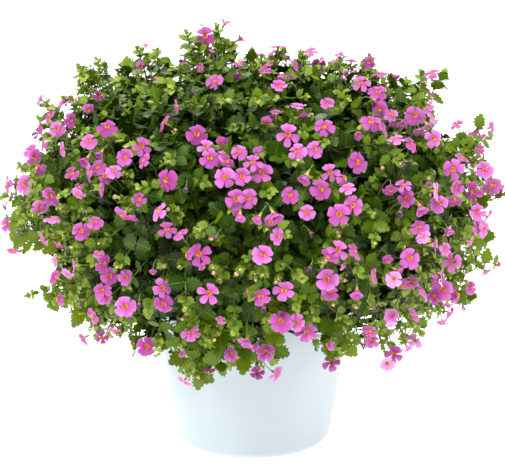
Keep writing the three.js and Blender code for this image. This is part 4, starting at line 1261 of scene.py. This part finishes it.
# Round the sides and the back, which the photograph doesn't show, blooms follow one rule of even
# spread, and are thinner on the flat top.
for k in range(HIDDEN_BLOOMS):
    down = down_at_area((k + 0.5) / HIDDEN_BLOOMS)
    point, outward, _ = mound_at(down, k * GOLDEN_ANGLE + draw.uniform(-0.12, 0.12))
    if outward.dot(camera_back) > FACES_CAMERA or outward.z < LEAST_RISE:
        continue
    place = point + outward * (BLOOM_LIFT + draw.uniform(-1, 1) * BLOOM_LIFT_SPREAD)
    if not is_in_crown(place) or not is_in_crown(point - outward * BLOOM_LIFT):
        continue
    lean = Vector([draw.gauss(0, 0.35) for _ in range(3)])
    facing = (outward + Vector((0, 0, 0.3)) + lean).normalized()
    kind = draw.choice(OPEN_KINDS * 2 + (DROOPING, CRUMPLED, FOLDED, SPENT_KIND, BUD, BUD))
    tone = draw.uniform(0, 0.35) if kind in (DROOPING, CRUMPLED) else draw.uniform(0.45, 1)
    size = draw.uniform(0.78, 1.12)
    if outward.z > FLAT_TOP and k % FLAT_TOP_EACH:
        continue
    add_bloom(place, facing, size, kind, tone, facing)


# Leaves
# Bacopa leaves are broad and ovate, with a few coarse teeth a side, three on a small one, a short
# winged stalk, a sunken rib, and edges that lift or curl a little. Each is a closed shell. Real ones
# are 10 to 20 mm long when full-grown, and shorter near a shoot's tip.

LEAF_THICK = 0.45 * MM
LEAF_USUAL = 14 * MM  # the length at which a leaf is that thick
LEAF_FOOT = -0.22  # places on a leaf are shares of its length
LEAF_RIPPLES = 9
LEAF_HOLLOW = 1.3  # the power of the distance from the rib by which it rises towards its edge
LEAF_EDGE = [
    (-0.2, 0.035),
    (-0.03, 0.12),
    (0.08, 0.42),
    (0.14, 0.3),
    (0.29, 0.55),
    (0.35, 0.38),
    (0.51, 0.53),
    (0.57, 0.34),
    (0.73, 0.41),
    (0.77, 0.2),
    (0.91, 0.2),
]
SMALL_LEAF_EDGE = [
    (-0.2, 0.035),
    (0.0, 0.14),
    (0.14, 0.42),
    (0.2, 0.3),
    (0.42, 0.5),
    (0.47, 0.33),
    (0.72, 0.37),
    (0.76, 0.18),
]
LEAF_WIDEST = 0.55


def leaf_mesh(name, edge, rib_places, lift, curl, wave):
    """A leaf of unit length along +X whose upper face looks along +Z, as a closed shell."""
    thick = LEAF_THICK / LEAF_USUAL
    points = []
    flats = []

    def add(along, across, height):
        points.append((along, across, height))
        flats.append((across / LEAF_WIDEST / 2 + 0.5, along))
        return len(points) - 1

    def surface(along, across):
        ripple = wave * math.sin(along * LEAF_RIPPLES) * abs(across)
        return lift * abs(across) ** LEAF_HOLLOW - curl * max(along, 0) ** 2 + ripple

    def strip(rim, rib, upwards):
        """Triangles between the rim and the rib, which have different numbers of points."""
        faces = []
        i = 0
        j = 0
        while i < len(rim) - 1 or j < len(rib) - 1:
            rim_next = points[rim[i + 1]][0] if i < len(rim) - 1 else math.inf
            rib_next = points[rib[j + 1]][0] if j < len(rib) - 1 else math.inf
            if rim_next <= rib_next:
                face = [rib[j], rim[i], rim[i + 1]]
                i += 1
            else:
                face = [rib[j], rim[i], rib[j + 1]]
                j += 1
            if len(set(face)) == 3:
                faces.append(face if upwards else face[::-1])
        return faces

    tip = add(1, 0, surface(1, 0))
    foot = add(LEAF_FOOT, 0, surface(LEAF_FOOT, 0))
    right = [foot] + [add(a, -w, surface(a, -w)) for a, w in edge] + [tip]
    left = [foot] + [add(a, w, surface(a, w)) for a, w in edge] + [tip]
    upper = [foot] + [add(a, 0, surface(a, 0) + thick * 0.2) for a in rib_places] + [tip]
    lower = [foot] + [add(a, 0, surface(a, 0) - thick) for a in rib_places] + [tip]
    faces = strip(right, upper, True) + strip(left, upper, False)
    faces += strip(right, lower, False) + strip(left, lower, True)
    mesh = mesh_with_flats(name, points, faces, flats)
    keep_rims_sharp(mesh)
    return mesh


leaf_shapes = bpy.data.collections.new("leaf_shapes")
LEAF_KINDS = [
    leaf_mesh("leaf_0_flat", LEAF_EDGE, (0, 0.4, 0.75), 0.1, 0.12, 0.03),
    leaf_mesh("leaf_1_folded", LEAF_EDGE, (0, 0.4, 0.75), 0.34, 0.2, 0.05),
    leaf_mesh("leaf_2_curled", LEAF_EDGE, (0, 0.4, 0.75), -0.12, 0.34, 0.06),
    leaf_mesh("leaf_3_small", SMALL_LEAF_EDGE, (0, 0.5), 0.3, 0.1, 0),
]
for mesh in LEAF_KINDS:
    leaf_shapes.objects.link(bpy.data.objects.new(mesh.name, mesh))
SMALL_LEAF = 3

# Living leaf: a waxy upper skin over green tissue. Young leaves are yellow-green, old ones dark and
# bluish with a pale satin sheen, and the rib and side veins are lighter and sunken.
LEAF_YOUNG = "#8AA149"
LEAF_MIDDLE = "#567208"
LEAF_OLD = "#2C4B07"
LEAF_OLDEST = "#172E0A"
LEAF_RAMP = [(0, LEAF_YOUNG), (0.35, LEAF_MIDDLE), (0.7, LEAF_OLD), (1, LEAF_OLDEST)]
VEIN_SLANT = 0.9
VEIN_RATE = 32  # how close the side veins stand
VEIN_SHARE = 0.18  # how much lighter the rib and the veins are
leaf_material, tree = new_material("living_leaf")
tone = stored(tree, "tone")
place = add_node(tree, "ShaderNodeUVMap", {"uv_map": "UVMap"}).outputs["UV"]
split = add_node(tree, "ShaderNodeSeparateXYZ", inputs={0: place}).outputs
shaded = add_node(
    tree,
    "ShaderNodeHueSaturation",
    inputs={
        "Color": colour_ramp(tree, stored(tree, "age"), LEAF_RAMP),
        "Hue": mapped(tree, tone, (0.75, 1.25), (0.512, 0.482)),
        "Saturation": 1.05,
        "Value": tone,
    },
).outputs["Color"]
aside = calculated(tree, "ABSOLUTE", calculated(tree, "SUBTRACT", split["X"], 0.5))
rib = mapped(tree, aside, (0.0, 0.05), (1.0, 0.0), smooth=True)
slant = calculated(tree, "SUBTRACT", split["Y"], calculated(tree, "MULTIPLY", aside, VEIN_SLANT))
waves = calculated(tree, "SINE", calculated(tree, "MULTIPLY", slant, VEIN_RATE))
veins = mapped(tree, waves, (0.55, 1.0), (0.0, 0.6), smooth=True)
lines = calculated(tree, "MAXIMUM", rib, veins)
give_skin(
    tree,
    {
        "Base Color": mixed(tree, calculated(tree, "MULTIPLY", lines, VEIN_SHARE), shaded, "#A2B53A"),
        "Roughness": 0.36,
        "Specular IOR Level": 0.17,
        "Normal": relief_of(tree, lines, 0.5, 0.4 * MM, sunken=True),
    },
)

# Green twig: a soft young stem, lighter than the leaves, brown and dull where it is old.
TWIG_RAMP = [(0, "#849A48"), (0.5, "#56662E"), (1, "#33311B")]
twig_material, tree = new_material("green_twig")
place = add_node(tree, "ShaderNodeTexCoord").outputs["Object"]
streaks = noise_at(tree, place, 300, 2).outputs["Color"]
bark = colour_ramp(tree, stored(tree, "age"), TWIG_RAMP)
give_skin(tree, {"Base Color": mixed(tree, 0.3, bark, streaks, "MULTIPLY"), "Roughness": 0.55})


# Shoots
# Every shoot leaves the tangle and runs out and downhill under the others, with a pair of leaves
# about every 8 mm, each pair across the last. It ends in a rosette of small pale leaves, some with
# buds.

SHOOT_COUNT = 460
SHOOT_LENGTH = 84 * MM
SHOOT_DEPTH = 30 * MM
SHOOT_LIFT = 10 * MM
SHOOT_STEPS = 7
LYING_TURN = 0.55  # how far a shoot turns aside from straight downhill, in radians
LYING_LENGTHS = (0.8, 1.15)
LYING_DEPTHS = (0.8, 1.25)
LYING_BACK = 0.85  # how far back its foot is, as a share of its length
LYING_CLEAR = 0.8  # and how deep at least, as a share of its depth
TIP_LIFTS = (-14, 13)  # millimetres by which their tips differ from SHOOT_LIFT
ARCHES = (2, 16)  # millimetres by which their middles are pulled outwards
LYING_VIGOUR = (0.85, 1.1)
REACHING_FEET = (-6, 14)  # millimetres by which the feet of reaching shoots are raised
REACHING_SAG = (0, 8)  # and by which they sag
REACHING_STRAIGHT = 8 * MM
SPRIG_ARCH = 6 * MM
EVEN_JITTER = 0.012  # how far shoots stray from their even spread, down the mound and round it
TURN_JITTER = 0.05
LEAST_POINTS = 3  # a shoot that keeps fewer points than this is left out
PAIR_STEP = 8.0 * MM
PAIR_SPREAD = (0.85, 1.15)
FIRST_PAIR = 0.5 * MM  # how far behind the tip
LEAF_LENGTH = 13 * MM
LEAF_SPREAD = (0.7, 1.15)
TIP_SIZE = 0.38  # how long the leaves are at the tip, as a share of the full-grown ones,
TIP_GROWTH = 0.8  # and how fast they gain
YOUNG_SIZE = 0.65  # how long they are where leaves are young
TIP_SPLAY = 34  # degrees between leaf and twig at the tip,
MORE_SPLAY = 44  # and how many more further back,
SPLAY_GROWTH = 1.6  # and how soon
SPLAY_SPREAD = 10
PAIR_TWIST = 0.3
UNDER_TWIG = -0.55  # leaves that would point into the mound more than this are left out
NEARLY_ALONG = 0.9  # a leaf that points so nearly at the light looks along its twig too
SHOOT_AGE = 0.75  # the age of its full-grown leaves
LEAF_AGES = (-0.12, 0.22)  # how far single leaves differ from it
SMALL_BELOW = 8.5 * MM  # leaves shorter than this have the small shape
LEAF_TONES = (0.75, 1.25)
LEAF_BODY = 0.45  # the place on a leaf that must not be before a bloom
LEAF_TIP = 0.95  # and the one that must lie inside the edge of the foliage
ROSETTE_PAIRS = 3
TWIG_RADIUS = 0.6 * MM
PATH_AGE = 0.25
LEAF_SWAY = 0.4
GROWING_LENGTH = 30 * MM  # how far from its tip a shoot's leaves are full-grown
SPRIG_GROWING = 15 * MM
# Where a leaf stands sets part of its age, and so how light its colour is: low down and towards the sides
# leaves are lighter, partly young growth and partly painted light where the foliage lies in shade; low on
# the left of the front they are darker.
LIGHTENED_BELOW = 124 * MM  # leaves lower than this have a share of their usual age,
LIGHTENED_SHARE = 0.4
LIGHTENED_RIGHT = 190 * MM  # and up to this height where they stand further right than the next value
RIGHT_FROM = 60 * MM
SIDE_FROM = 115 * MM  # from this far out towards the left and the right
SIDE_DEPTH = 70 * MM  # the age falls over this distance
SIDE_SHARE = 0.5  # to this share
DARKENED_MIDDLE = seen_at(150, 262, 0)  # low on the left of the front the leaves are given an older, darker colour
DARKENED_REACH = 70 * MM
DARKENED_SHARE = 0.9
SPRIG_LIFT = 4 * MM
SPRIG_SUNK = 16 * MM
SPRIG_AGE = 0.4
SPRIG_BROAD = 1.25
ROSETTE_STEP = 3.4 * MM
LEAST_LEAVES = 5
DRAWN_IN_TIMES = 7  # a shoot whose tip lies outside the foliage's edge is drawn in up to so often,
TIP_DRAWN_IN = 0.14  # by these shares of its way
PULL_DRAWN_IN = 0.1
LAID_TIMES = 3  # one that would run before a bloom is laid lower up to so often,
LAID_LOWER = 5 * MM  # by this much
BUDDED_TIPS = 0.4
BUDS_AT_TIP = (1, 1, 2)
TIP_BUD_LEAN = 0.4
TIP_BUD_AHEAD = 5 * MM
TIP_BUD_SIZES = (0.7, 1.1)
BUD_BEHIND = 4 * MM  # how far behind a bud the rosette stands that bears it
OLD_LEAF_COUNT = 1500
OLD_LEAF_DEPTH = 24 * MM
CLEAR_BEHIND = 2 * MM  # leaves are left out before a bloom, this far behind it and ahead of it
CLEAR_AHEAD = 34 * MM
CLEAR_SHARE = 0.86  # and this share of its radius aside

bloom_places = np.array([bloom["place"] for bloom in blooms])
bloom_sights = np.array([bloom["sight"] for bloom in blooms])
bloom_reaches = np.array([bloom["reach"] for bloom in blooms]) * CLEAR_SHARE


def covers_bloom(point):
    """Whether a leaf whose middle is here would stand before a bloom."""
    away = np.array(point) - bloom_places
    ahead = np.sum(away * bloom_sights, axis=1)
    aside = np.linalg.norm(away - ahead[:, None] * bloom_sights, axis=1)
    return bool(np.any((ahead > -CLEAR_BEHIND) & (ahead < CLEAR_AHEAD) & (aside < bloom_reaches)))


def point_along(points, distance):
    """The place and heading a given distance before the end of a path."""
    for last, first in zip(points[::-1], points[-2::-1]):
        length = (last - first).length
        if distance <= length:
            return last.lerp(first, distance / length), (last - first).normalized()
        distance -= length
    return None, None


def turned_about(vector, axis, angle):
    return Matrix.Rotation(angle, 3, axis) @ vector


def add_leaf(stem, place, heading, facing, size, age, kind, trimmed):
    """Notes a leaf that grows from `place` along `heading`, its upper face towards `facing`."""
    tone = draw.uniform(*LEAF_TONES)
    if covers_bloom(place + heading * size * LEAF_BODY):
        return
    if trimmed and not is_in_crown(place + heading * size * LEAF_TIP):
        return
    normal = (facing - heading * facing.dot(heading)).normalized()
    growth[stem]["leaves"].append(
        {"place": place, "turn": turn_of(heading, normal.cross(heading), normal), "size": size,
         "age": age, "tone": tone, "kind": kind}
    )


def youth_and_light_at(place):
    """What share of its usual age, and so how light a colour, a leaf has here; the lighter colour low down
    is partly painted light.
    """
    aside = min(max((math.hypot(place.x, place.y) - SIDE_FROM) / SIDE_DEPTH, 0), 1)
    share = 1 - (1 - SIDE_SHARE) * aside * min(abs(place.x) / SIDE_FROM, 1)
    lightened_below = LIGHTENED_RIGHT if place.x > RIGHT_FROM else LIGHTENED_BELOW
    if place.z < lightened_below:
        return share * LIGHTENED_SHARE
    return share + DARKENED_SHARE * max(1 - (place - DARKENED_MIDDLE).length / DARKENED_REACH, 0)


def shoot_path(start, pull, end, facing):
    """A shoot's curve, drawn in to the edge of the foliage and laid lower where blooms are."""
    for _ in range(DRAWN_IN_TIMES):
        if is_in_crown(end):
            break
        end = end.lerp(start, TIP_DRAWN_IN)
        pull = pull.lerp(start, PULL_DRAWN_IN)
    path = curve_points(start, pull, end, SHOOT_STEPS)
    for _ in range(LAID_TIMES):
        if not any(covers_bloom(point) for point in path[2:]):
            break
        end -= facing * LAID_LOWER
        pull -= facing * LAID_LOWER
        path = curve_points(start, pull, end, SHOOT_STEPS)
    outside = [i for i, point in enumerate(path) if i > 1 and not is_in_crown(point)]
    return path[: outside[0]] if outside else path


def add_tip_buds(stem, path, facing):
    """Notes the small buds that some of the rosettes have."""
    if draw.random() >= BUDDED_TIPS:
        return
    heading = (path[-1] - path[-2]).normalized()
    for _ in range(draw.choice(BUDS_AT_TIP)):
        sway = Vector([draw.gauss(0, TIP_BUD_LEAN) for _ in range(3)])
        lean = (facing + heading + sway).normalized()
        place = path[-1] + lean * TIP_BUD_AHEAD
        if is_in_crown(place):
            across = lean.orthogonal().normalized()
            growth[stem]["blooms"].append(
                {"place": place, "turn": turn_of(across, lean.cross(across), lean),
                 "size": BLOOM_RADIUS * draw.uniform(*TIP_BUD_SIZES), "age": 0, "tone": 1,
                 "kind": SMALL_BUD}
            )


def grow_shoot(start, pull, end, facing, vigour, trimmed=True):
    """A shoot from the tangle to its tip, with its pairs of leaves and its rosette."""
    if trimmed:
        path = shoot_path(start, pull, end, facing)
    else:
        path = curve_points(start, pull, end, SHOOT_STEPS)
    if len(path) < LEAST_POINTS:
        return
    stem = nearest_stem(start)
    leaves = growth[stem]["leaves"]
    leaves_before = len(leaves)
    reach = sum((b - a).length for a, b in zip(path, path[1:]))
    spin = draw.uniform(0, math.pi)
    distance = FIRST_PAIR
    number = 0
    while distance < reach:
        place, heading = point_along(path, distance)
        if place is None:
            break
        is_rosette = number < ROSETTE_PAIRS
        grown = min(distance / (GROWING_LENGTH if trimmed else SPRIG_GROWING), 1)
        share = TIP_SIZE + (1 - TIP_SIZE) * grown**TIP_GROWTH
        size = LEAF_LENGTH * vigour * share * draw.uniform(*LEAF_SPREAD)
        size *= YOUNG_SIZE + (1 - YOUNG_SIZE) * min(youth_and_light_at(place), 1) if trimmed else SPRIG_BROAD
        splay = TIP_SPLAY + MORE_SPLAY * min(grown * SPLAY_GROWTH, 1)
        splay = math.radians(splay + draw.uniform(-SPLAY_SPREAD, SPLAY_SPREAD))
        side = facing.cross(heading).normalized()
        across = turned_about(side, heading, spin + draw.uniform(-PAIR_TWIST, PAIR_TWIST))
        for way in (1, -1):
            out = (heading * math.cos(splay) + across * way * math.sin(splay)).normalized()
            if out.dot(facing) < UNDER_TWIG and not is_rosette:
                continue
            light = facing + Vector([draw.uniform(-LEAF_SWAY, LEAF_SWAY) for _ in range(3)])
            if abs(out.dot(light.normalized())) > NEARLY_ALONG:
                light += heading
            age = min(grown * SHOOT_AGE + draw.uniform(*LEAF_AGES), 1)
            kind = SMALL_LEAF if size < SMALL_BELOW else draw.choice((0, 0, 1, 2))
            age = min(age * youth_and_light_at(place), 1) if trimmed else age * SPRIG_AGE
            add_leaf(stem, place + out * TWIG_RADIUS, out, light, size, max(age, 0), kind, trimmed)
        spin += math.pi / 2
        step = ROSETTE_STEP if is_rosette else PAIR_STEP * draw.uniform(*PAIR_SPREAD)
        distance += step * (vigour if trimmed else 1)
        number += 1
    if len(leaves) - leaves_before < LEAST_LEAVES:
        del leaves[leaves_before:]
        return
    growth[stem]["paths"].append({"points": path, "radius": TWIG_RADIUS * vigour, "age": PATH_AGE})
    add_tip_buds(stem, path, facing)


def lying_shoot(down, bearing):
    """A shoot whose tip ends over the given place of the mound."""
    turn = draw.gauss(0, LYING_TURN)
    length = SHOOT_LENGTH * draw.uniform(*LYING_LENGTHS)
    tip, outward, downhill = mound_at(down, bearing)
    back = turned_about(-downhill, outward, turn)
    depth = SHOOT_DEPTH * draw.uniform(*LYING_DEPTHS)
    start = tip + back * length * LYING_BACK - outward * depth
    if mound_level(start) > -depth * LYING_CLEAR:
        start -= outward_near(start) * (mound_level(start) + depth)
    end = tip + outward * (SHOOT_LIFT + draw.uniform(*TIP_LIFTS) * MM)
    pull = start.lerp(end, 0.5) + outward * draw.uniform(*ARCHES) * MM
    facing = (outward + Vector((0, 0, 0.35))).normalized()
    grow_shoot(start, pull, end, facing, draw.uniform(*LYING_VIGOUR))


def reaching_shoot(tip, vigour):
    """A shoot that comes out of the tangle to a tip which stands clear of the mound or at its edge."""
    outward = outward_near(tip)
    level = max(mound_level(tip), 0)
    raised = Vector((0, 0, draw.uniform(*REACHING_FEET) * MM))
    start = tip - outward * (level + SHOOT_DEPTH) + raised
    sag = Vector((0, 0, draw.uniform(*REACHING_SAG) * MM))
    pull = tip - outward * (level * 0.5 + REACHING_STRAIGHT) - sag
    facing = (outward + Vector((0, 0, 0.8)) + camera_back * 0.3).normalized()
    grow_shoot(start, pull, tip, facing, vigour)


def sprig_shoot(root, tip, vigour):
    """A shoot that leaves the mound at its root and stands clear of it up to its tip."""
    outward = outward_near(root)
    start = root - outward * SPRIG_SUNK
    pull = start.lerp(tip, 0.5) + outward * SPRIG_ARCH
    facing = (outward + Vector((0, 0, 0.5)) + camera_back * 0.9).normalized()
    grow_shoot(start, pull, tip, facing, vigour, trimmed=False)


for k in range(SHOOT_COUNT):
    down = down_at_area((k + 0.5) / SHOOT_COUNT) + draw.uniform(-EVEN_JITTER, EVEN_JITTER)
    bearing = k * GOLDEN_ANGLE + draw.uniform(-TURN_JITTER, TURN_JITTER)
    lying_shoot(min(max(down, 0), 1), bearing)

# Old dark leaves that root in the tangle, deep between the shoots.
for k in range(OLD_LEAF_COUNT):
    down = down_at_area((k + 0.5) / OLD_LEAF_COUNT)
    point, outward, downhill = mound_at(down, k * GOLDEN_ANGLE + 1)
    place = point - outward * OLD_LEAF_DEPTH * draw.uniform(0.75, 1.15)
    aside = turned_about(downhill, outward, draw.uniform(-2, 2))
    heading = (aside + outward * draw.uniform(0.1, 0.9)).normalized()
    light = outward + Vector([draw.uniform(-LEAF_SWAY, LEAF_SWAY) for _ in range(3)])
    size = LEAF_LENGTH * draw.uniform(1, 1.4)
    add_leaf(nearest_stem(place), place, heading, light, size, draw.uniform(0.7, 1), SMALL_LEAF, True)

# Shoots that end at the edge of the foliage, a little inside it, all the way round.
EDGE_INSET = 11  # pixels
EDGE_MIDDLE = (253, 205)
for x, y in CROWN_OUTLINE[::2]:
    away = Vector((EDGE_MIDDLE[0] - x, EDGE_MIDDLE[1] - y)).normalized() * EDGE_INSET
    reaching_shoot(seen_at(x + away.x, y + away.y, SHOOT_LIFT), draw.uniform(0.75, 1))

# Sprigs that stand clear of the mound, by the pixels where each leaves the leaves and where it ends,
# with the size of its leaves. They are not cut back to the edge.
SPRIGS = [
    (72, 284, 27, 296, 0.42), (50, 246, 15, 240, 0.7), (92, 92, 80, 68, 0.8), (108, 82, 97, 60, 0.75),
    (128, 84, 126, 63, 0.7), (146, 72, 138, 49, 0.75), (158, 74, 157, 51, 0.75),
    (194, 62, 187, 34, 0.75), (204, 62, 203, 26, 0.8), (213, 62, 217, 26, 0.75),
    (222, 66, 225, 42, 0.75), (246, 76, 252, 52, 0.7), (424, 106, 443, 74, 0.9),
    (418, 100, 422, 73, 0.75), (452, 150, 482, 124, 0.7), (452, 268, 500, 262, 0.62),
    (200, 330, 200, 380, 0.9), (186, 328, 183, 364, 0.85), (214, 328, 222, 370, 0.85),
    (245, 338, 244, 366, 0.8), (272, 332, 275, 356, 0.7), (334, 330, 334, 356, 0.75),
    (346, 330, 348, 352, 0.75), (96, 300, 76, 318, 0.75), (66, 292, 50, 306, 0.55),
    (420, 318, 421, 336, 0.7), (262, 70, 262, 57, 0.7), (300, 66, 303, 52, 0.7),
    (338, 70, 341, 56, 0.7), (372, 68, 370, 58, 0.7), (404, 96, 406, 80, 0.8),
    (476, 150, 492, 132, 0.6), (484, 176, 500, 188, 0.6), (470, 232, 488, 238, 0.7),
    (38, 168, 20, 166, 0.6), (40, 132, 38, 118, 0.6), (48, 116, 44, 98, 0.6), (22, 200, 4, 196, 0.7),
    (20, 226, 4, 218, 0.7), (460, 300, 474, 296, 0.7),
]
for root_x, root_y, tip_x, tip_y, vigour in SPRIGS:
    sprig_shoot(seen_at(root_x, root_y, 0), seen_at(tip_x, tip_y, SPRIG_LIFT), vigour)

# Shoots that carry the blooms which stand clear of the mound, and those that end in the seen buds.
for bloom in blooms:
    if bloom["level"] > CARRIED_FROM:
        reaching_shoot(bloom["shoot_end"], 0.8)
for bloom in blooms[SEEN_COUNT - len(BUDS) : SEEN_COUNT]:
    reaching_shoot(bloom["place"] - outward_near(bloom["place"]) * BUD_BEHIND, 0.9)


def held_value(tree, name, data_type):
    """A value that the mesh holds for each of its points."""
    settings = {"data_type": data_type}
    return add_node(tree, "GeometryNodeInputNamedAttribute", settings, {"Name": name}).outputs[0]


tree, given, growth_inputs = new_tree(
    "Twigs with leaves or blooms",
    {"Shapes": "Collection", "Shape size": "Float", "Size spread": "Float", "Twig sides": "Int",
     "Seed": "Int", "Shape material": "Material", "Twig material": "Material"},
)
spread = given.outputs["Size spread"]
kind = held_value(tree, "kind", "INT")
size = held_value(tree, "size", "FLOAT")
is_shape = add_node(
    tree,
    "FunctionNodeCompare",
    {"data_type": "INT", "operation": "GREATER_EQUAL"},
    {2: kind, 3: 0},
).outputs[0]
points = add_node(
    tree,
    "GeometryNodeMeshToPoints",
    inputs={"Mesh": given.outputs["Geometry"], "Selection": is_shape},
)
varied = add_node(
    tree,
    "FunctionNodeRandomValue",
    {"data_type": "FLOAT"},
    {
        2: calculated(tree, "SUBTRACT", 1.0, spread),
        3: calculated(tree, "ADD", 1.0, spread),
        "Seed": given.outputs["Seed"],
    },
).outputs[1]
sized = calculated(tree, "MULTIPLY", size, varied)
sized = calculated(tree, "MULTIPLY", sized, given.outputs["Shape size"])
shapes = add_node(
    tree,
    "GeometryNodeCollectionInfo",
    inputs={"Collection": given.outputs["Shapes"], "Separate Children": True, "Reset Children": True},
)
placed = add_node(
    tree,
    "GeometryNodeInstanceOnPoints",
    inputs={
        "Points": points.outputs[0],
        "Instance": shapes.outputs[0],
        "Pick Instance": True,
        "Instance Index": kind,
        "Rotation": held_value(tree, "turn", "FLOAT_VECTOR"),
        "Scale": sized,
    },
)
real = add_node(tree, "GeometryNodeRealizeInstances", inputs={0: placed.outputs[0]})
paths = add_node(tree, "GeometryNodeMeshToCurve", inputs={"Mesh": given.outputs["Geometry"]})
fat = add_node(tree, "GeometryNodeSetCurveRadius", inputs={"Curve": paths.outputs[0], "Radius": size})
section = add_node(
    tree,
    "GeometryNodeCurvePrimitiveCircle",
    inputs={"Resolution": given.outputs["Twig sides"], "Radius": 1.0},
)
tubes = add_node(
    tree,
    "GeometryNodeCurveToMesh",
    inputs={
        "Curve": fat.outputs[0],
        "Profile Curve": section.outputs[0],
        "Scale": size,
        "Fill Caps": True,
    },
)
finished = with_material(tree, real.outputs[0], given.outputs["Shape material"])
woody = with_material(tree, tubes.outputs[0], given.outputs["Twig material"])
add_node(tree, "NodeGroupOutput", inputs={0: joined(tree, (finished, woody))})
growth_tree = tree


def growth_mesh(name, paths, things):
    """Loose points for the leaves or blooms and lines for the twigs, with what the tree reads."""
    points = []
    edges = []
    rows = []
    for path in paths:
        first = len(points)
        points += path["points"]
        edges += [(first + i, first + i + 1) for i in range(len(path["points"]) - 1)]
        for i in range(len(path["points"])):
            share = i / (len(path["points"]) - 1)
            age = path["age"] + (1 - share) * TWIG_FOOT_AGE
            radius = path["radius"] * (TWIG_FOOT - TWIG_THINNING * share)
            rows.append((-1, (0, 0, 0), radius, age, 1))
    for thing in things:
        points.append(thing["place"])
        rows.append((thing["kind"], thing["turn"], thing["size"], thing["age"], thing["tone"]))
    mesh = bpy.data.meshes.new(name)
    mesh.from_pydata(points, edges, [])
    kinds = mesh.attributes.new("kind", "INT", "POINT")
    kinds.data.foreach_set("value", [row[0] for row in rows])
    turns = mesh.attributes.new("turn", "FLOAT_VECTOR", "POINT")
    turns.data.foreach_set("vector", [part for row in rows for part in row[1]])
    for index, label in ((2, "size"), (3, "age"), (4, "tone")):
        values = mesh.attributes.new(label, "FLOAT", "POINT")
        values.data.foreach_set("value", [row[index] for row in rows])
    return mesh


def grown_piece(name, paths, things, shapes, material, sides, seed):
    """A piece of twigs with leaves or blooms on them, as a plain mesh."""
    piece = new_object(name, growth_mesh(name, paths, things))
    return grow(
        piece,
        growth_tree,
        growth_inputs,
        {
            "Shapes": shapes,
            "Shape size": 1.0,
            "Size spread": 0.06,
            "Twig sides": sides,
            "Seed": seed,
            "Shape material": material,
            "Twig material": twig_material,
        },
    )


for number, grown in enumerate(growth, 1):
    name = f"foliage_{number:02d}"
    piece = grown_piece(name, grown["paths"], grown["leaves"], leaf_shapes, leaf_material, 5, number)
    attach(piece, "root")
    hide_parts(f"leafy_stem_{number:02d}")

# The blooms of each ring of stems are one piece.
for number, ring in enumerate(RINGS, 1):
    borne = [grown for stem, grown in zip(stems, growth) if stem["ring"] is ring]
    stalks = [stalk for grown in borne for stalk in grown["stalks"]]
    things = [bloom for grown in borne for bloom in grown["blooms"]]
    piece = grown_piece(f"blooms_{number:02d}", stalks, things, bloom_shapes, petal_material, 4, number)
    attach(piece, "root")


# Stage
# A light table of white acrylic, lit from below, and plain soft studio light from both sides, from
# above and from behind, brightest from above and from the left.

FLOOR_HALF = 16  # metres
LIT_HEIGHT = 0.18  # metres, what the lamps point at

floor_shape = bmesh.new()
bmesh.ops.create_grid(floor_shape, x_segments=1, y_segments=1, size=FLOOR_HALF)
floor = new_object("light_table", mesh_of(floor_shape, "light_table"))
acrylic, tree = new_material("backlit_white_acrylic")
give_skin(
    tree,
    {
        "Base Color": linear("#FAFAFA"),
        "Roughness": 0.9,
        "Specular IOR Level": 0.1,
        "Emission Color": (1, 1, 1, 1),
        "Emission Strength": 0.75,
    },
)
floor.data.materials.append(acrylic)

world = bpy.data.worlds.new("studio_white")
bpy.context.scene.world = world
world.use_nodes = True
world.node_tree.nodes["Background"].inputs["Color"].default_value = (1, 1, 1, 1)
world.node_tree.nodes["Background"].inputs["Strength"].default_value = 0.18


def add_softbox(name, place, size, power):
    """A square area light that points at the middle of the plant."""
    data = bpy.data.lights.new(name, "AREA")
    data.size = size
    data.energy = power
    lamp = bpy.data.objects.new(name, data)
    bpy.context.scene.collection.objects.link(lamp)
    lamp.matrix_world = with_back_to(place, Vector(place) - Vector((0, 0, LIT_HEIGHT)))
    return lamp


add_softbox("left_softbox", (-1.8, -0.8, 1.5), 0.8, 41)
add_softbox("right_softbox", (1.9, -0.4, 1.1), 0.7, 23)
add_softbox("top_softbox", (0.1, -0.6, 2.3), 0.8, 45)
add_softbox("back_softbox", (-0.3, 1.9, 1.8), 0.9, 26)

bpy.context.scene.view_settings.view_transform = "Standard"
